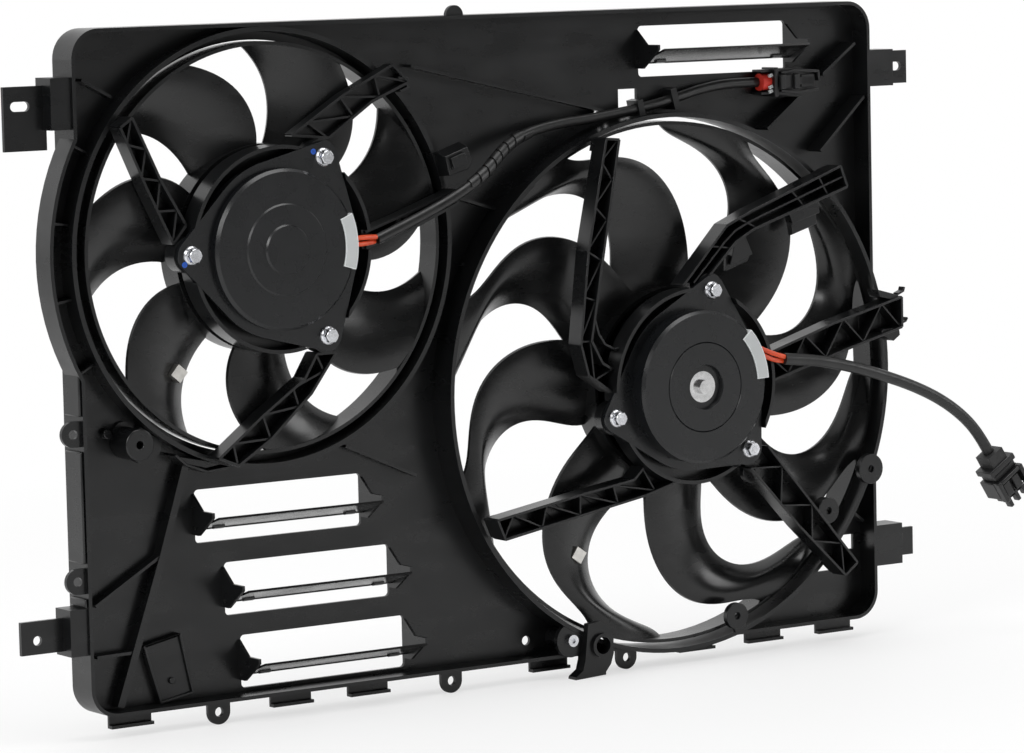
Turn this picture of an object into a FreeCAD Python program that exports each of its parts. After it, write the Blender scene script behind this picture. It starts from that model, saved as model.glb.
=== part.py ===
"""Twin-fan radiator shroud, modelled in millimetres.

Frame: X runs across the shroud, Z up, and -Y points out of the engine side.
The origin lies at the middle of the plane that meets the radiator.
A "height" is a distance out of that plane, so a point at height h has y = -h.
"""
import FreeCAD, Part
import math
import os
import Sketcher
from FreeCAD import Placement, Rotation, Vector

doc = FreeCAD.newDocument("RadiatorFanShroud")
sheet = doc.addObject("Spreadsheet::Sheet", "Sizes")

# --------------------------------------------------------------------------
# Driving sizes
# --------------------------------------------------------------------------
SIZES = {
    # moulded tray
    "rim_width": 660, "rim_height": 453, "rim_depth": 26, "rim_wall": 2.5, "rim_corner": 20,
    "panel_lift": 6.5, "panel_thick": 2.5, "bulge_gap": 14.6,
    # fan rings
    "small_x": -186.4, "small_z": 76.2, "small_bore": 144.5, "small_lip_height": 26, "small_lip": 3.2,
    "large_x": 145, "large_z": -39.5, "large_bore": 189.2, "large_lip_height": 33, "large_lip": 3,
    "ring_wall": 2.4, "lip_thick": 1.8, "ring_clearance": 0.2,
    # windows and their flaps
    "window_width": 131, "window_height": 36, "window_corner": 3, "window_edge": 5.5,
    "window_one_x": -238.5, "window_one_z": -119.5, "window_two_x": -217, "window_two_z": -170.5,
    "window_three_x": -206, "window_three_z": -221, "window_four_x": 134, "window_four_z": 178,
    "flap_reach": 29, "flap_thick": 1.6, "flap_side_gap": 0.8, "flap_pivot_rise": 10.5,
    "flap_tilt": 18, "flap_pin_radius": 1.4, "flap_pin_gap": 0.15, "flap_pivot_lift": 3.2,
    "cheek_thick": 2, "cheek_reach": 27, "bumper_width": 8, "bumper_inset": 9,
    # motors
    "can_radius": 54, "small_can_length": 42.5, "large_can_length": 58, "can_wall": 2.5, "can_face": 3, "can_edge": 2,
    "small_face": 52.5, "large_face": 68, "bearing_radius": 11, "bearing_width": 6,
    "collar_wall": 2.5, "shaft_radius": 5, "shaft_fit": 0.05,
    "flange_radius": 60, "flange_thick": 3, "ear_circle": 69, "ear_radius": 10.5,
    "small_ear_angle": 60, "large_ear_angle": 75, "small_flange_height": 42, "large_flange_height": 50,
    "magnet_thick": 6.4, "magnet_angle": 70, "magnet_gap": 0.1, "air_gap": 0.8,
    "small_core_length": 13.5, "large_core_length": 26, "core_lift": 9.5, "slot_width": 4, "slot_depth": 18, "slot_count": 12,
    "winding_inner": 20, "winding_outer": 42, "winding_length": 3,
    "commutator_radius": 13, "commutator_length": 9, "brush_width": 6, "brush_height": 5,
    "brush_length": 13, "brush_gap": 0.3, "brush_plate_thick": 2, "brush_plate_gap": 1,
    "terminal_depth": 8, "terminal_height": 6.5, "terminal_gap": 0.2, "terminal_angle": 40,
    "small_terminal_turn": 3, "large_terminal_turn": 23,
    # carriers and arms
    "carrier_radius": 69.5, "carrier_wall": 2.5, "carrier_floor": 2.5, "carrier_opening": 57,
    "small_carrier_low": 30, "small_carrier_top": 47, "large_carrier_low": 42, "large_carrier_top": 57,
    "lug_radius": 12, "ear_clearance": 0.8, "small_arm_low": 26, "large_arm_low": 37,
    "arm_wall": 1.8, "arm_floor": 2, "arm_rib": 1.4,
    # fastener of a motor
    "screw_radius": 2.5, "screw_fit": 0.1, "screw_length": 14, "screw_head": 6, "screw_across": 5.2,
    "washer_radius": 8, "washer_thick": 1.4,
    # fans
    "small_band_gap": 6.6, "large_band_gap": 3.2, "band_wall": 2.4,
    "small_band_low": 5, "small_band_top": 25, "large_band_low": 3, "large_band_top": 23,
    "small_hub_radius": 70, "large_hub_radius": 69, "hub_wall": 2.5, "hub_disc": 2.5,
    "hub_drop": 5, "small_hub_top": 25, "large_hub_top": 30, "hub_boss_radius": 12, "hub_boss_gap": 0.5,
    "nut_radius": 8.5, "nut_length": 4, "shaft_tail": 4.5, "blade_thick": 2.4,
    "small_blade_front": 23, "small_blade_rear": 6.5, "large_blade_front": 21, "large_blade_rear": 8,
    # wiring
    "cable_radius": 3.6, "cord_radius": 4.2, "wire_radius": 1.7,
}


class Size:
    """A length that keeps its value together with the sheet expression it comes from."""

    def __init__(self, value, text):
        self.value = value
        self.text = text

    def joined(self, other, sign, value):
        return Size(value, "(%s %s %s)" % (self.text, sign, as_size(other).text))

    def __add__(self, other):
        return self.joined(other, "+", self.value + as_size(other).value)

    def __sub__(self, other):
        return self.joined(other, "-", self.value - as_size(other).value)

    def __mul__(self, other):
        return self.joined(other, "*", self.value * as_size(other).value)

    def __truediv__(self, other):
        return self.joined(other, "/", self.value / as_size(other).value)

    def __neg__(self):
        return Size(-self.value, "(0 - %s)" % self.text)

    def __float__(self):
        return float(self.value)


def as_size(number):
    if isinstance(number, Size):
        return number
    return Size(float(number), "%.6f" % number if number >= 0 else "(0 - %.6f)" % -number)


def fill_sheet():
    for row, (name, number) in enumerate(SIZES.items(), start=1):
        sheet.set("A%d" % row, name)
        sheet.set("B%d" % row, str(number))
        sheet.setAlias("B%d" % row, name)
    doc.recompute()
    return {name: Size(float(sheet.get(name)), "Sizes.%s" % name) for name in SIZES}


S = fill_sheet()
NODES = []


def node(thing, label):
    """Names a finished sub-part and keeps it for the export."""
    thing.Label = label
    NODES.append(thing)
    return thing


# --------------------------------------------------------------------------
# Sketch and feature helpers
# --------------------------------------------------------------------------
def new_body(label):
    body = doc.addObject("PartDesign::Body", label)
    body.Label = label
    return body


def new_sketch(body, role, lift=None):
    plane = [f for f in body.Origin.OriginFeatures if f.Role == role][0]
    sketch = body.newObject("Sketcher::SketchObject", "Sketch")
    sketch.AttachmentSupport = (plane, [""])
    sketch.MapMode = "FlatFace"
    if lift is not None:
        sketch.setExpression("AttachmentOffset.Base.z", as_size(lift).text)
    return sketch


def hold(sketch, kind, target, size):
    """Adds one dimension and binds it to its expression."""
    index = sketch.addConstraint(Sketcher.Constraint(kind, *target, as_size(size).value))
    sketch.setExpression("Constraints[%d]" % index, as_size(size).text)


def fix_point(sketch, geometry, end, point):
    hold(sketch, "DistanceX", (-1, 1, geometry, end), point[0])
    hold(sketch, "DistanceY", (-1, 1, geometry, end), point[1])


def add_polygon(sketch, points):
    places = [Vector(float(x), float(y), 0) for x, y in points]
    count = len(places)
    first = sketch.GeometryCount
    for i in range(count):
        sketch.addGeometry(Part.LineSegment(places[i], places[(i + 1) % count]))
    for i in range(count):
        sketch.addConstraint(
            Sketcher.Constraint("Coincident", first + i, 2, first + (i + 1) % count, 1))
    for i, point in enumerate(points):
        fix_point(sketch, first + i, 1, point)


def add_circle(sketch, centre, radius):
    middle = Vector(float(centre[0]), float(centre[1]), 0)
    index = sketch.addGeometry(Part.Circle(middle, Vector(0, 0, 1), float(radius)))
    fix_point(sketch, index, 3, centre)
    hold(sketch, "Radius", (index,), radius)


def add_rounded_box(sketch, low, high, corner):
    """Rectangle between two corners, with equal rounded corners."""
    x0, z0, x1, z1 = low[0], low[1], high[0], high[1]
    first = sketch.GeometryCount
    runs = [((x0 + corner, z0), (x1 - corner, z0)), ((x1, z0 + corner), (x1, z1 - corner)),
            ((x1 - corner, z1), (x0 + corner, z1)), ((x0, z1 - corner), (x0, z0 + corner))]
    centres = [(x1 - corner, z0 + corner), (x1 - corner, z1 - corner),
               (x0 + corner, z1 - corner), (x0 + corner, z0 + corner)]
    for start, end in runs:
        sketch.addGeometry(Part.LineSegment(flat(start), flat(end)))
    for i, centre in enumerate(centres):
        circle = Part.Circle(flat(centre), Vector(0, 0, 1), float(corner))
        start = math.radians(-90 + 90 * i)
        sketch.addGeometry(Part.ArcOfCircle(circle, start, start + math.pi / 2))
    for i in range(4):
        arc = first + 4 + i
        sketch.addConstraint(Sketcher.Constraint("Coincident", first + i, 2, arc, 1))
        sketch.addConstraint(Sketcher.Constraint("Coincident", arc, 2, first + (i + 1) % 4, 1))
        fix_point(sketch, first + i, 1, runs[i][0])
        fix_point(sketch, first + i, 2, runs[i][1])
        hold(sketch, "Radius", (arc,), corner)


def flat(point):
    return Vector(float(point[0]), float(point[1]), 0)


def add_left_segment(sketch, centre, radius, chord):
    """Part of a disc to the left of the vertical line x = chord."""
    away = float(centre[0]) - float(chord)
    rise = math.sqrt(float(radius) ** 2 - away ** 2)
    middle = flat(centre)
    circle = Part.Circle(middle, Vector(0, 0, 1), float(radius))
    start = math.pi - math.atan2(rise, away)
    arc = sketch.addGeometry(Part.ArcOfCircle(circle, start, 2 * math.pi - start))
    top = Vector(float(chord), middle.y + rise, 0)
    low = Vector(float(chord), middle.y - rise, 0)
    line = sketch.addGeometry(Part.LineSegment(low, top))
    sketch.addConstraint(Sketcher.Constraint("Coincident", arc, 2, line, 1))
    sketch.addConstraint(Sketcher.Constraint("Coincident", line, 2, arc, 1))
    sketch.addConstraint(Sketcher.Constraint("Vertical", line))
    fix_point(sketch, arc, 3, centre)
    hold(sketch, "Radius", (arc,), radius)
    hold(sketch, "DistanceX", (-1, 1, line, 1), chord)


def pad(body, low, high, draw):
    """Adds material between two heights, over the outline that draw puts in the sketch."""
    sketch = new_sketch(body, "XZ_Plane", low)
    draw(sketch)
    feature = body.newObject("PartDesign::Pad", "Pad")
    feature.Profile = sketch
    feature.setExpression("Length", (as_size(high) - low).text)
    doc.recompute()
    return feature


def pocket(body, low, high, draw):
    """Removes material between two heights; the cut has to take some volume away."""
    before = body.Shape.Volume
    sketch = new_sketch(body, "XZ_Plane", low)
    draw(sketch)
    feature = body.newObject("PartDesign::Pocket", "Pocket")
    feature.Profile = sketch
    feature.Reversed = True
    feature.setExpression("Length", (as_size(high) - low).text)
    doc.recompute()
    if body.Shape.Volume >= before:
        raise RuntimeError("%s: a pocket cut nothing" % body.Label)
    return feature


def place(thing, x, height, z):
    for axis, size in (("x", x), ("y", -as_size(height)), ("z", z)):
        thing.setExpression("Placement.Base.%s" % axis, as_size(size).text)


def turned(label, centre, outline):
    """Solid of revolution about an axis along Y; the outline holds (radius, height) points."""
    body = new_body(label)
    sketch = new_sketch(body, "XY_Plane")
    add_polygon(sketch, [(radius, -as_size(height)) for radius, height in outline])
    feature = body.newObject("PartDesign::Revolution", "Revolution")
    feature.Profile = sketch
    feature.ReferenceAxis = (sketch, ["V_Axis"])
    feature.Angle = 360
    place(body, centre[0], 0, centre[1])
    doc.recompute()
    return body


def box_outline(x0, z0, x1, z1):
    return [(x0, z0), (x1, z0), (x1, z1), (x0, z1)]


def group(label, parts):
    holder = doc.addObject("Part::Compound", label)
    holder.Links = parts
    return node(holder, label)


def feature(label, shape):
    """A sub-part whose shape is worked out from the sheet's sizes."""
    thing = doc.addObject("Part::Feature", label)
    thing.Shape = shape
    return node(thing, label)


# --------------------------------------------------------------------------
# Solid helpers: places are (x, z), and heights run out of the radiator plane
# --------------------------------------------------------------------------
def at(x, z, height):
    return Vector(float(x), -float(height), float(z))


def disc(centre, radius, low, high):
    rise = float(high) - float(low)
    return Part.makeCylinder(float(radius), rise, at(centre[0], centre[1], low), Vector(0, -1, 0))


def tube(centre, outer, inner, low, high):
    return disc(centre, outer, low, high).cut(disc(centre, inner, low, high))


def prism(points, low, high):
    corners = [at(x, z, low) for x, z in points]
    face = Part.Face(Part.makePolygon(corners + corners[:1]))
    return face.extrude(Vector(0, float(low) - float(high), 0))


def bar(start, end, width, low, high):
    """Straight bar of one width between two places."""
    dx, dz = end[0] - start[0], end[1] - start[1]
    length = math.hypot(dx, dz)
    nx, nz = -dz / length * width / 2, dx / length * width / 2
    return prism([(start[0] + nx, start[1] + nz), (end[0] + nx, end[1] + nz),
                  (end[0] - nx, end[1] - nz), (start[0] - nx, start[1] - nz)], low, high)


def slab(x0, z0, x1, z1, low, high):
    return prism(box_outline(x0, z0, x1, z1), low, high)


def around(centre, radius, degrees):
    turn = math.radians(degrees)
    return (float(centre[0]) + float(radius) * math.cos(turn),
            float(centre[1]) + float(radius) * math.sin(turn))


def spin(shape, centre, degrees):
    """Copy of a shape turned about an axis along Y, counted as seen from the engine side."""
    copy = shape.copy()
    copy.rotate(at(centre[0], centre[1], 0), Vector(0, -1, 0), degrees)
    return copy


def fused(shapes):
    whole = shapes[0]
    if len(shapes) > 1:
        whole = whole.multiFuse(shapes[1:])
    return whole.removeSplitter()


def cut_all(shape, tools):
    for tool in tools:
        shape = shape.cut(tool)
    return shape


HALF_WIDTH = S["rim_width"] / 2
HALF_HEIGHT = S["rim_height"] / 2
INNER_X = HALF_WIDTH - S["rim_wall"]
INNER_Z = HALF_HEIGHT - S["rim_wall"]
PANEL_LOW = S["panel_lift"]
PANEL_TOP = S["panel_lift"] + S["panel_thick"]
SMALL = (S["small_x"], S["small_z"])
LARGE = (S["large_x"], S["large_z"])
SMALL_OUTER = S["small_bore"] + S["ring_wall"]
LARGE_OUTER = S["large_bore"] + S["ring_wall"]
SMALL_BULGE = SMALL_OUTER + S["bulge_gap"]
WINDOWS = [(S["window_%s_x" % name], S["window_%s_z" % name]) for name in ("one", "two", "three", "four")]


# --------------------------------------------------------------------------
# Moulded tray: rim, panel and the two areas that hold the windows
# --------------------------------------------------------------------------
def make_rim():
    """Wall round the tray, bulged to the left beside the small fan and under the large fan's ring."""
    body = new_body("shroud_rim")
    low, top, wall = 0, S["rim_depth"], S["rim_wall"]
    pad(body, low, top, lambda s: add_rounded_box(
        s, (-HALF_WIDTH, -HALF_HEIGHT), (HALF_WIDTH, HALF_HEIGHT), S["rim_corner"]))
    pad(body, PANEL_LOW, top, lambda s: add_left_segment(
        s, SMALL, SMALL_BULGE + wall, -INNER_X + wall))
    pad(body, low, PANEL_TOP, lambda s: add_circle(s, LARGE, LARGE_OUTER))
    pocket(body, low, top, lambda s: add_rounded_box(
        s, (-INNER_X, -INNER_Z), (INNER_X, INNER_Z), S["rim_corner"] - wall))
    pocket(body, PANEL_LOW, top, lambda s: add_left_segment(s, SMALL, SMALL_BULGE, -INNER_X + wall))
    pocket(body, low, PANEL_TOP, lambda s: add_circle(s, LARGE, S["large_bore"]))
    pocket(body, PANEL_TOP, top, lambda s: add_circle(s, LARGE, LARGE_OUTER + S["ring_clearance"]))
    return node(body, "shroud_rim")


def window_areas():
    """Rectangles of panel, as (x0, z0, x1, z1), that hold the lower three and the upper window."""
    edge, wide, tall = S["window_edge"], S["window_width"], S["window_height"]
    lower = (WINDOWS[0][0] - edge, -INNER_Z, WINDOWS[2][0] + wide + edge, WINDOWS[0][1] + tall + edge)
    upper = (WINDOWS[3][0] - edge, WINDOWS[3][1] - edge, WINDOWS[3][0] + wide + edge, INNER_Z)
    return lower, upper


PANEL_HOLES = [(26.8, -213.9, 3.3), (96.6, 153.1, 2.4), (103, 153.1, 2.4)]
PANEL_CUTOUTS = [(116, 153, 132, 170), (309, -177, 321, -166), (281, -191, 301, -182)]


def make_panel():
    """Sheet of the tray, open for both fans, the window areas and a few small cut-outs."""
    body = new_body("shroud_panel")
    pad(body, PANEL_LOW, PANEL_TOP, lambda s: add_rounded_box(
        s, (-INNER_X, -INNER_Z), (INNER_X, INNER_Z), S["rim_corner"] - S["rim_wall"]))
    pad(body, PANEL_LOW, PANEL_TOP, lambda s: add_left_segment(s, SMALL, SMALL_BULGE, -INNER_X + 1))
    pocket(body, PANEL_LOW, PANEL_TOP, lambda s: add_circle(s, SMALL, S["small_bore"]))
    pocket(body, PANEL_LOW, PANEL_TOP, lambda s: add_circle(s, LARGE, S["large_bore"]))
    pocket(body, PANEL_LOW, PANEL_TOP, lambda s: add_polygon(s, box_outline(*window_areas()[0])))
    pocket(body, PANEL_LOW, PANEL_TOP, lambda s: add_polygon(s, box_outline(*window_areas()[1])))
    for x, z, radius in PANEL_HOLES:
        pocket(body, PANEL_LOW, PANEL_TOP, lambda s: add_circle(s, (x, z), radius))
    for cut in PANEL_CUTOUTS:
        pocket(body, PANEL_LOW, PANEL_TOP, lambda s: add_polygon(s, box_outline(*cut)))
    return node(body, "shroud_panel")


def make_window_panels():
    parts = []
    for label, area, windows in (("LowerArea", window_areas()[0], WINDOWS[:3]),
                                 ("UpperArea", window_areas()[1], WINDOWS[3:])):
        body = new_body(label)
        pad(body, PANEL_LOW, PANEL_TOP, lambda s: add_polygon(s, box_outline(*area)))
        for x, z in windows:
            pocket(body, PANEL_LOW, PANEL_TOP, lambda s: add_rounded_box(
                s, (x, z), (x + S["window_width"], z + S["window_height"]), S["window_corner"]))
        parts.append(body)
    return group("window_panels", parts)


def make_ring(name, centre):
    """Barrel round a fan, standing on the panel, with a lip turned outwards."""
    bore, top, lip = S[name + "_bore"], S[name + "_lip_height"], S[name + "_lip"]
    outer = bore + S["ring_wall"]
    body = turned(name + "_fan_ring", centre, [
        (bore, PANEL_TOP), (bore, top), (bore + lip, top), (bore + lip, top - S["lip_thick"]),
        (outer, top - S["lip_thick"]), (outer, PANEL_TOP)])
    return node(body, name + "_fan_ring")


# --------------------------------------------------------------------------
# Parts moulded on the tray
# --------------------------------------------------------------------------
EAR_HOLE, EAR_RADIUS, EAR_THICK, EAR_REACH, EAR_LIFT = 3.2, 8.5, 3, 6, 20
SIDE_EARS = [-37.3, -134.3]
FOOT_EARS = [-232, -45.5, 103.7]
HOOKS = [-309, -184, -122, 29, 157, 219, 284]
HOOK_LENGTH, HOOK_DROP, HOOK_LIP, HOOK_THICK, HOOK_LIFT = 32, 10, 6, 2.2, 8


def ear(root, way):
    """Round ear with a hole, standing out from the rim in the direction way."""
    tip = (root[0] + way[0] * EAR_REACH, root[1] + way[1] * EAR_REACH)
    low, top = EAR_LIFT, EAR_LIFT + EAR_THICK
    body = disc(tip, EAR_RADIUS, low, top).fuse(bar(root, tip, 2 * EAR_RADIUS, low, top))
    inside = bar(root, (root[0] - way[0] * EAR_RADIUS, root[1] - way[1] * EAR_RADIUS),
                 4 * EAR_RADIUS, low, top)
    return body.cut(inside).cut(disc(tip, EAR_HOLE, low, top)).removeSplitter()


def hook(x):
    """Foot under the rim: a leg with a lip turned to the engine side."""
    edge = -float(HALF_HEIGHT)
    leg = slab(x, edge - HOOK_DROP, x + HOOK_LENGTH, edge, HOOK_LIFT, HOOK_LIFT + HOOK_THICK)
    lip = slab(x, edge - HOOK_DROP, x + HOOK_LENGTH, edge - HOOK_DROP + HOOK_THICK,
               HOOK_LIFT, HOOK_LIFT + HOOK_LIP)
    return fused([leg, lip])


def make_ears_and_hooks():
    left, low, high = -float(HALF_WIDTH), -float(HALF_HEIGHT), float(HALF_HEIGHT)
    parts = [ear((left, z), (-1, 0)) for z in SIDE_EARS]
    parts += [ear((x, low), (0, -1)) for x in FOOT_EARS]
    lobe = disc((-30, high), 7, EAR_LIFT, EAR_LIFT + EAR_THICK)
    parts.append(lobe.cut(slab(-60, high - 20, 0, high, EAR_LIFT, EAR_LIFT + EAR_THICK)))
    parts += [hook(x) for x in HOOKS]
    bulge = disc(LARGE, LARGE_OUTER, 0, PANEL_TOP)
    bulge = bulge.fuse(disc(LARGE, LARGE_OUTER + S["ring_clearance"], PANEL_TOP, S["rim_depth"]))
    return feature("rim_ears_and_hooks", Part.makeCompound([part.cut(bulge) for part in parts]))


TAB_REACH, TAB_THICK, TAB_LIFT, TAB_BOX_TOP, TAB_BOX_WALL = 44, 3, 10.5, 24, 2
SLOT_LENGTH, SLOT_HALF, TAB_HOLE_AT = 14, 3.2, 32
# Each tab: side, height of its hole, slotted or round, reach of its plate and of its root box
# below and above the hole, and the box's reach out of the rim
TABS = [(-1, 177.5, True, 29, 13, 16, 18, 15), (-1, -171.5, False, 9, 13, 12, 19, 13),
        (1, 177.5, True, 12.5, 11.5, 13.5, 13, 23), (1, -171.5, False, 14, 6.5, 18, 12, 25.5)]


def tab(side, z, slotted, below, above, box_below, box_above, box_reach):
    """Mounting tab on one side of the rim, with its hollow root box."""
    edge = side * float(HALF_WIDTH)
    low, top, wall = TAB_LIFT, TAB_LIFT + TAB_THICK, TAB_BOX_WALL

    def span(near, far, z0, z1, bottom, upper):
        xs = sorted((edge + side * near, edge + side * far))
        return slab(xs[0], z0, xs[1], z1, bottom, upper)

    root = span(0, box_reach, z - box_below, z + box_above, 4, TAB_BOX_TOP)
    hollow = span(0, box_reach - wall, z - box_below + wall, z + box_above - wall, 0, TAB_BOX_TOP - wall)
    web = span(0, box_reach, z - wall / 2, z + wall / 2, 4, TAB_BOX_TOP)
    plate = span(box_reach - wall, TAB_REACH, z - below, z + above, low, top)
    middle = edge + side * TAB_HOLE_AT
    body = fused([root.cut(hollow), web, plate])
    reach = (SLOT_LENGTH / 2 - SLOT_HALF) if slotted else 0
    hole = [disc((middle + s * reach, z), SLOT_HALF, low, top) for s in (-1, 1)]
    if slotted:
        hole.append(slab(middle - reach, z - SLOT_HALF, middle + reach, z + SLOT_HALF, low, top))
    return cut_all(body, hole).removeSplitter()


def make_tabs():
    return feature("mounting_tabs", Part.makeCompound([tab(*values) for values in TABS]))


TALL_RIBS = [((318, 196), (272, 163)), ((272, 163), (237, 137)), ((326, 157), (285, 119))]
RIBS = [((317, -150), (325, -156)), ((-320, -153), (-268.5, -123.5)), ((-320, -187), (-291, -186.5)),
        ((-318, 193), (-296, 181)), ((-62.5, 193), (97, 156)),
        ((-26, 101), (6, 91)), ((-25, 55.5), (-10, 49.5)), ((-123, -63), (-66, -88))]
BAR_POINTS = [(-248.5, -62.8), (-268.2, -123.4), (-291, -186.2), (-304, -222)]
RIB_WIDTH, RIB_RISE, TALL_RISE, BAR_WIDTH, BAR_RISE = 2, 8, 15, 5, 9
PAD_POINTS = [(-283, -184), (-255.5, -178.5), (-247, -218.5), (-271.5, -223)]
BOSSES = [(-278, -49.5, 12.5, 3, 6), (-292, -42, 9, 2, 3), (49, -213.4, 6, 1.7, 20)]


def make_ribs():
    """Stiffening ribs, the raised bar, a pad and round bosses on the engine side of the panel."""
    ground = float(PANEL_TOP)
    room = slab(-float(INNER_X), -float(INNER_Z), float(INNER_X), float(INNER_Z), ground, ground + 40)
    parts = [bar(a, b, RIB_WIDTH, ground, ground + RIB_RISE).common(room) for a, b in RIBS]
    parts += [bar(a, b, RIB_WIDTH, ground, ground + TALL_RISE).common(room) for a, b in TALL_RIBS]
    stem = [bar(a, b, BAR_WIDTH, ground, ground + BAR_RISE) for a, b in zip(BAR_POINTS, BAR_POINTS[1:])]
    stem += [disc(point, BAR_WIDTH / 2, ground, ground + BAR_RISE) for point in BAR_POINTS[1:-1]]
    stem = fused(stem).common(room)
    parts = [part.cut(stem) for part in parts]
    parts.append(stem)
    parts.append(prism(PAD_POINTS, ground, ground + 4))
    plain = parts[:]
    for x, z, radius, hole, rise in BOSSES:
        plain.append(disc((x, z), radius, ground, ground + rise).cut(
            disc((x, z), hole, ground, ground + rise)))
    clear = disc(SMALL, SMALL_OUTER + 0.5, 0, 60).fuse(disc(LARGE, LARGE_OUTER + 0.5, 0, 60))
    clear = clear.fuse(slab(244, 159, 288, 182, 0, 60))
    solids = []
    for part in plain:
        solids += part.cut(clear).Solids
    merged = fused(solids)
    return feature("panel_ribs", Part.makeCompound(merged.Solids))


# --------------------------------------------------------------------------
# Window flaps on their pivots
# --------------------------------------------------------------------------
PIVOT_HEIGHT = PANEL_TOP + S["flap_pivot_lift"]


def pivot_z(window):
    return float(window[1] + S["flap_pivot_rise"])


def swing(point, window):
    """Turns a (height, z) point of a flat flap about its pivot to the tilt that it rests at."""
    turn = math.radians(float(S["flap_tilt"]))
    out, up = point
    return (float(PIVOT_HEIGHT) + out * math.cos(turn) - up * math.sin(turn),
            pivot_z(window) + out * math.sin(turn) + up * math.cos(turn))


def side_prism(points, x0, x1):
    """Extrusion along X of an outline given as (height, z) points."""
    corners = [at(x0, z, height) for height, z in points]
    face = Part.Face(Part.makePolygon(corners + corners[:1]))
    return face.extrude(Vector(float(x1) - float(x0), 0, 0))


def make_brackets():
    """Cheeks at both ends of each window, drilled for the flap's pins, with a stop above it."""
    parts = []
    ground, thick, reach = float(PANEL_TOP), float(S["cheek_thick"]), float(S["cheek_reach"])
    hole = float(S["flap_pin_radius"] + S["flap_pin_gap"])
    for window in WINDOWS:
        z = pivot_z(window)
        for x in (float(window[0]) - thick, float(window[0] + S["window_width"])):
            outline = [(ground, z - 4.5), (ground, z + 23), (ground + 13, z + 12.5),
                       (ground + reach, z + 12.5), (ground + reach, z + 9), (ground + 8, z - 4.5)]
            cheek = side_prism(outline, x, x + thick)
            pin = Part.makeCylinder(hole, thick, at(x, z, PIVOT_HEIGHT), Vector(1, 0, 0))
            parts.append(cheek.cut(pin))
    return feature("flap_brackets", Part.makeCompound(parts))


def make_flap(index, window):
    """Flap with a pin at each end and two soft bumpers under it."""
    gap, thick = float(S["flap_side_gap"]), float(S["flap_thick"])
    x0 = float(window[0]) + gap
    x1 = float(window[0] + S["window_width"]) - gap
    half, reach = thick / 2, float(S["flap_reach"])
    plate = side_prism([swing(p, window) for p in
                        ((-half, -half), (reach, -half), (reach, half), (-half, half))], x0, x1)
    z = pivot_z(window)
    radius = float(S["flap_pin_radius"])
    pin_reach = gap + float(S["cheek_thick"])
    barrel = Part.makeCylinder(radius, x1 - x0 + 2 * pin_reach,
                               at(x0 - pin_reach, z, PIVOT_HEIGHT), Vector(1, 0, 0))
    wide, inset = float(S["bumper_width"]), float(S["bumper_inset"])
    bumpers = []
    for start in (x0 + inset, x1 - inset - wide):
        outline = [swing(p, window) for p in
                   ((2, -half), (6.5, -half), (5.5, -half - 1.4), (3, -half - 1.4))]
        bumpers.append(side_prism(outline, start, start + wide))
    return feature("relief_flap_%d" % index, Part.makeCompound([fused([plate, barrel])] + bumpers))


# --------------------------------------------------------------------------
# Motors
# --------------------------------------------------------------------------
def ear_angles(name):
    first = float(S[name + "_ear_angle"])
    return [first, first + 120, first + 240]


def ear_plate(centre, name, radius, tip, low, high):
    """Disc with three rounded ears that run off it at a tangent."""
    reach = float(S["ear_circle"])
    lean = math.degrees(math.acos((radius - tip) / reach))
    parts = [disc(centre, radius, low, high)]
    for angle in ear_angles(name):
        end = around(centre, reach, angle)
        parts.append(disc(end, tip, low, high))
        parts.append(prism([around(centre, radius, angle - lean), around(end, tip, angle - lean),
                            around(end, tip, angle + lean), around(centre, radius, angle + lean)],
                           low, high))
    return fused(parts)


def screw_places(name, centre):
    return [around(centre, S["ear_circle"], angle) for angle in ear_angles(name)]


def terminal_sector(name, centre, inner, outer, low, high, spare):
    """Arc-shaped block over the terminal's angle, grown by a clearance on every side."""
    turn, half = float(S[name + "_terminal_turn"]), float(S["terminal_angle"]) / 2
    inner, outer = float(inner) - spare, float(outer) + spare
    ring = tube(centre, outer, inner, float(low) - spare, float(high) + spare)
    far = 3 * outer
    slack = math.degrees(spare / outer)
    start, end = turn - half - slack, turn + half + slack
    wedge = prism([(float(centre[0]), float(centre[1])), around(centre, far, start),
                   around(centre, far, (start + end) / 2), around(centre, far, end)],
                  float(low) - spare, float(high) + spare)
    return ring.common(wedge)


def make_can(name, centre):
    """Cupped steel housing, closed on the engine side."""
    face, radius, wall = S[name + "_face"], S["can_radius"], S["can_wall"]
    back = face - S[name + "_can_length"]
    inner, edge = radius - wall, S["can_edge"]
    seat, collar = S["bearing_radius"], S["bearing_radius"] + S["collar_wall"]
    floor = face - S["can_face"] - 1
    deep = floor - S["bearing_width"]
    outline = [(radius, back), (radius, face - edge - 1), (radius - edge, face - 1)]
    if name == "small":
        outline += [(as_size(31), face - 1), (as_size(30), face), (as_size(17), face),
                    (as_size(16), face + 1.2), (as_size(0), face + 1.2), (as_size(0), floor),
                    (seat, floor), (seat, deep), (collar, deep), (collar, floor)]
    else:
        outline += [(as_size(32), face - 1), (as_size(31.5), face - 1.8), (as_size(31), face - 1),
                    (as_size(16), face - 1), (as_size(15), face - 4.5), (seat, face - 4.5),
                    (seat, deep), (collar, deep), (collar, floor - 1.5), (as_size(17), floor)]
    outline += [(inner, floor), (inner, back)]
    body = turned(name + "MotorCup", centre, outline)
    notch = terminal_sector(name, centre, radius - S["terminal_depth"], radius + 3,
                            face - S["terminal_height"], face + 3, float(S["terminal_gap"]))
    tool = doc.addObject("Part::Feature", name + "TerminalNotch")
    tool.Shape = notch
    cut = doc.addObject("Part::Cut", name + "_motor_can")
    cut.Base = body
    cut.Tool = tool
    return node(cut, name + "_motor_can")


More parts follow.
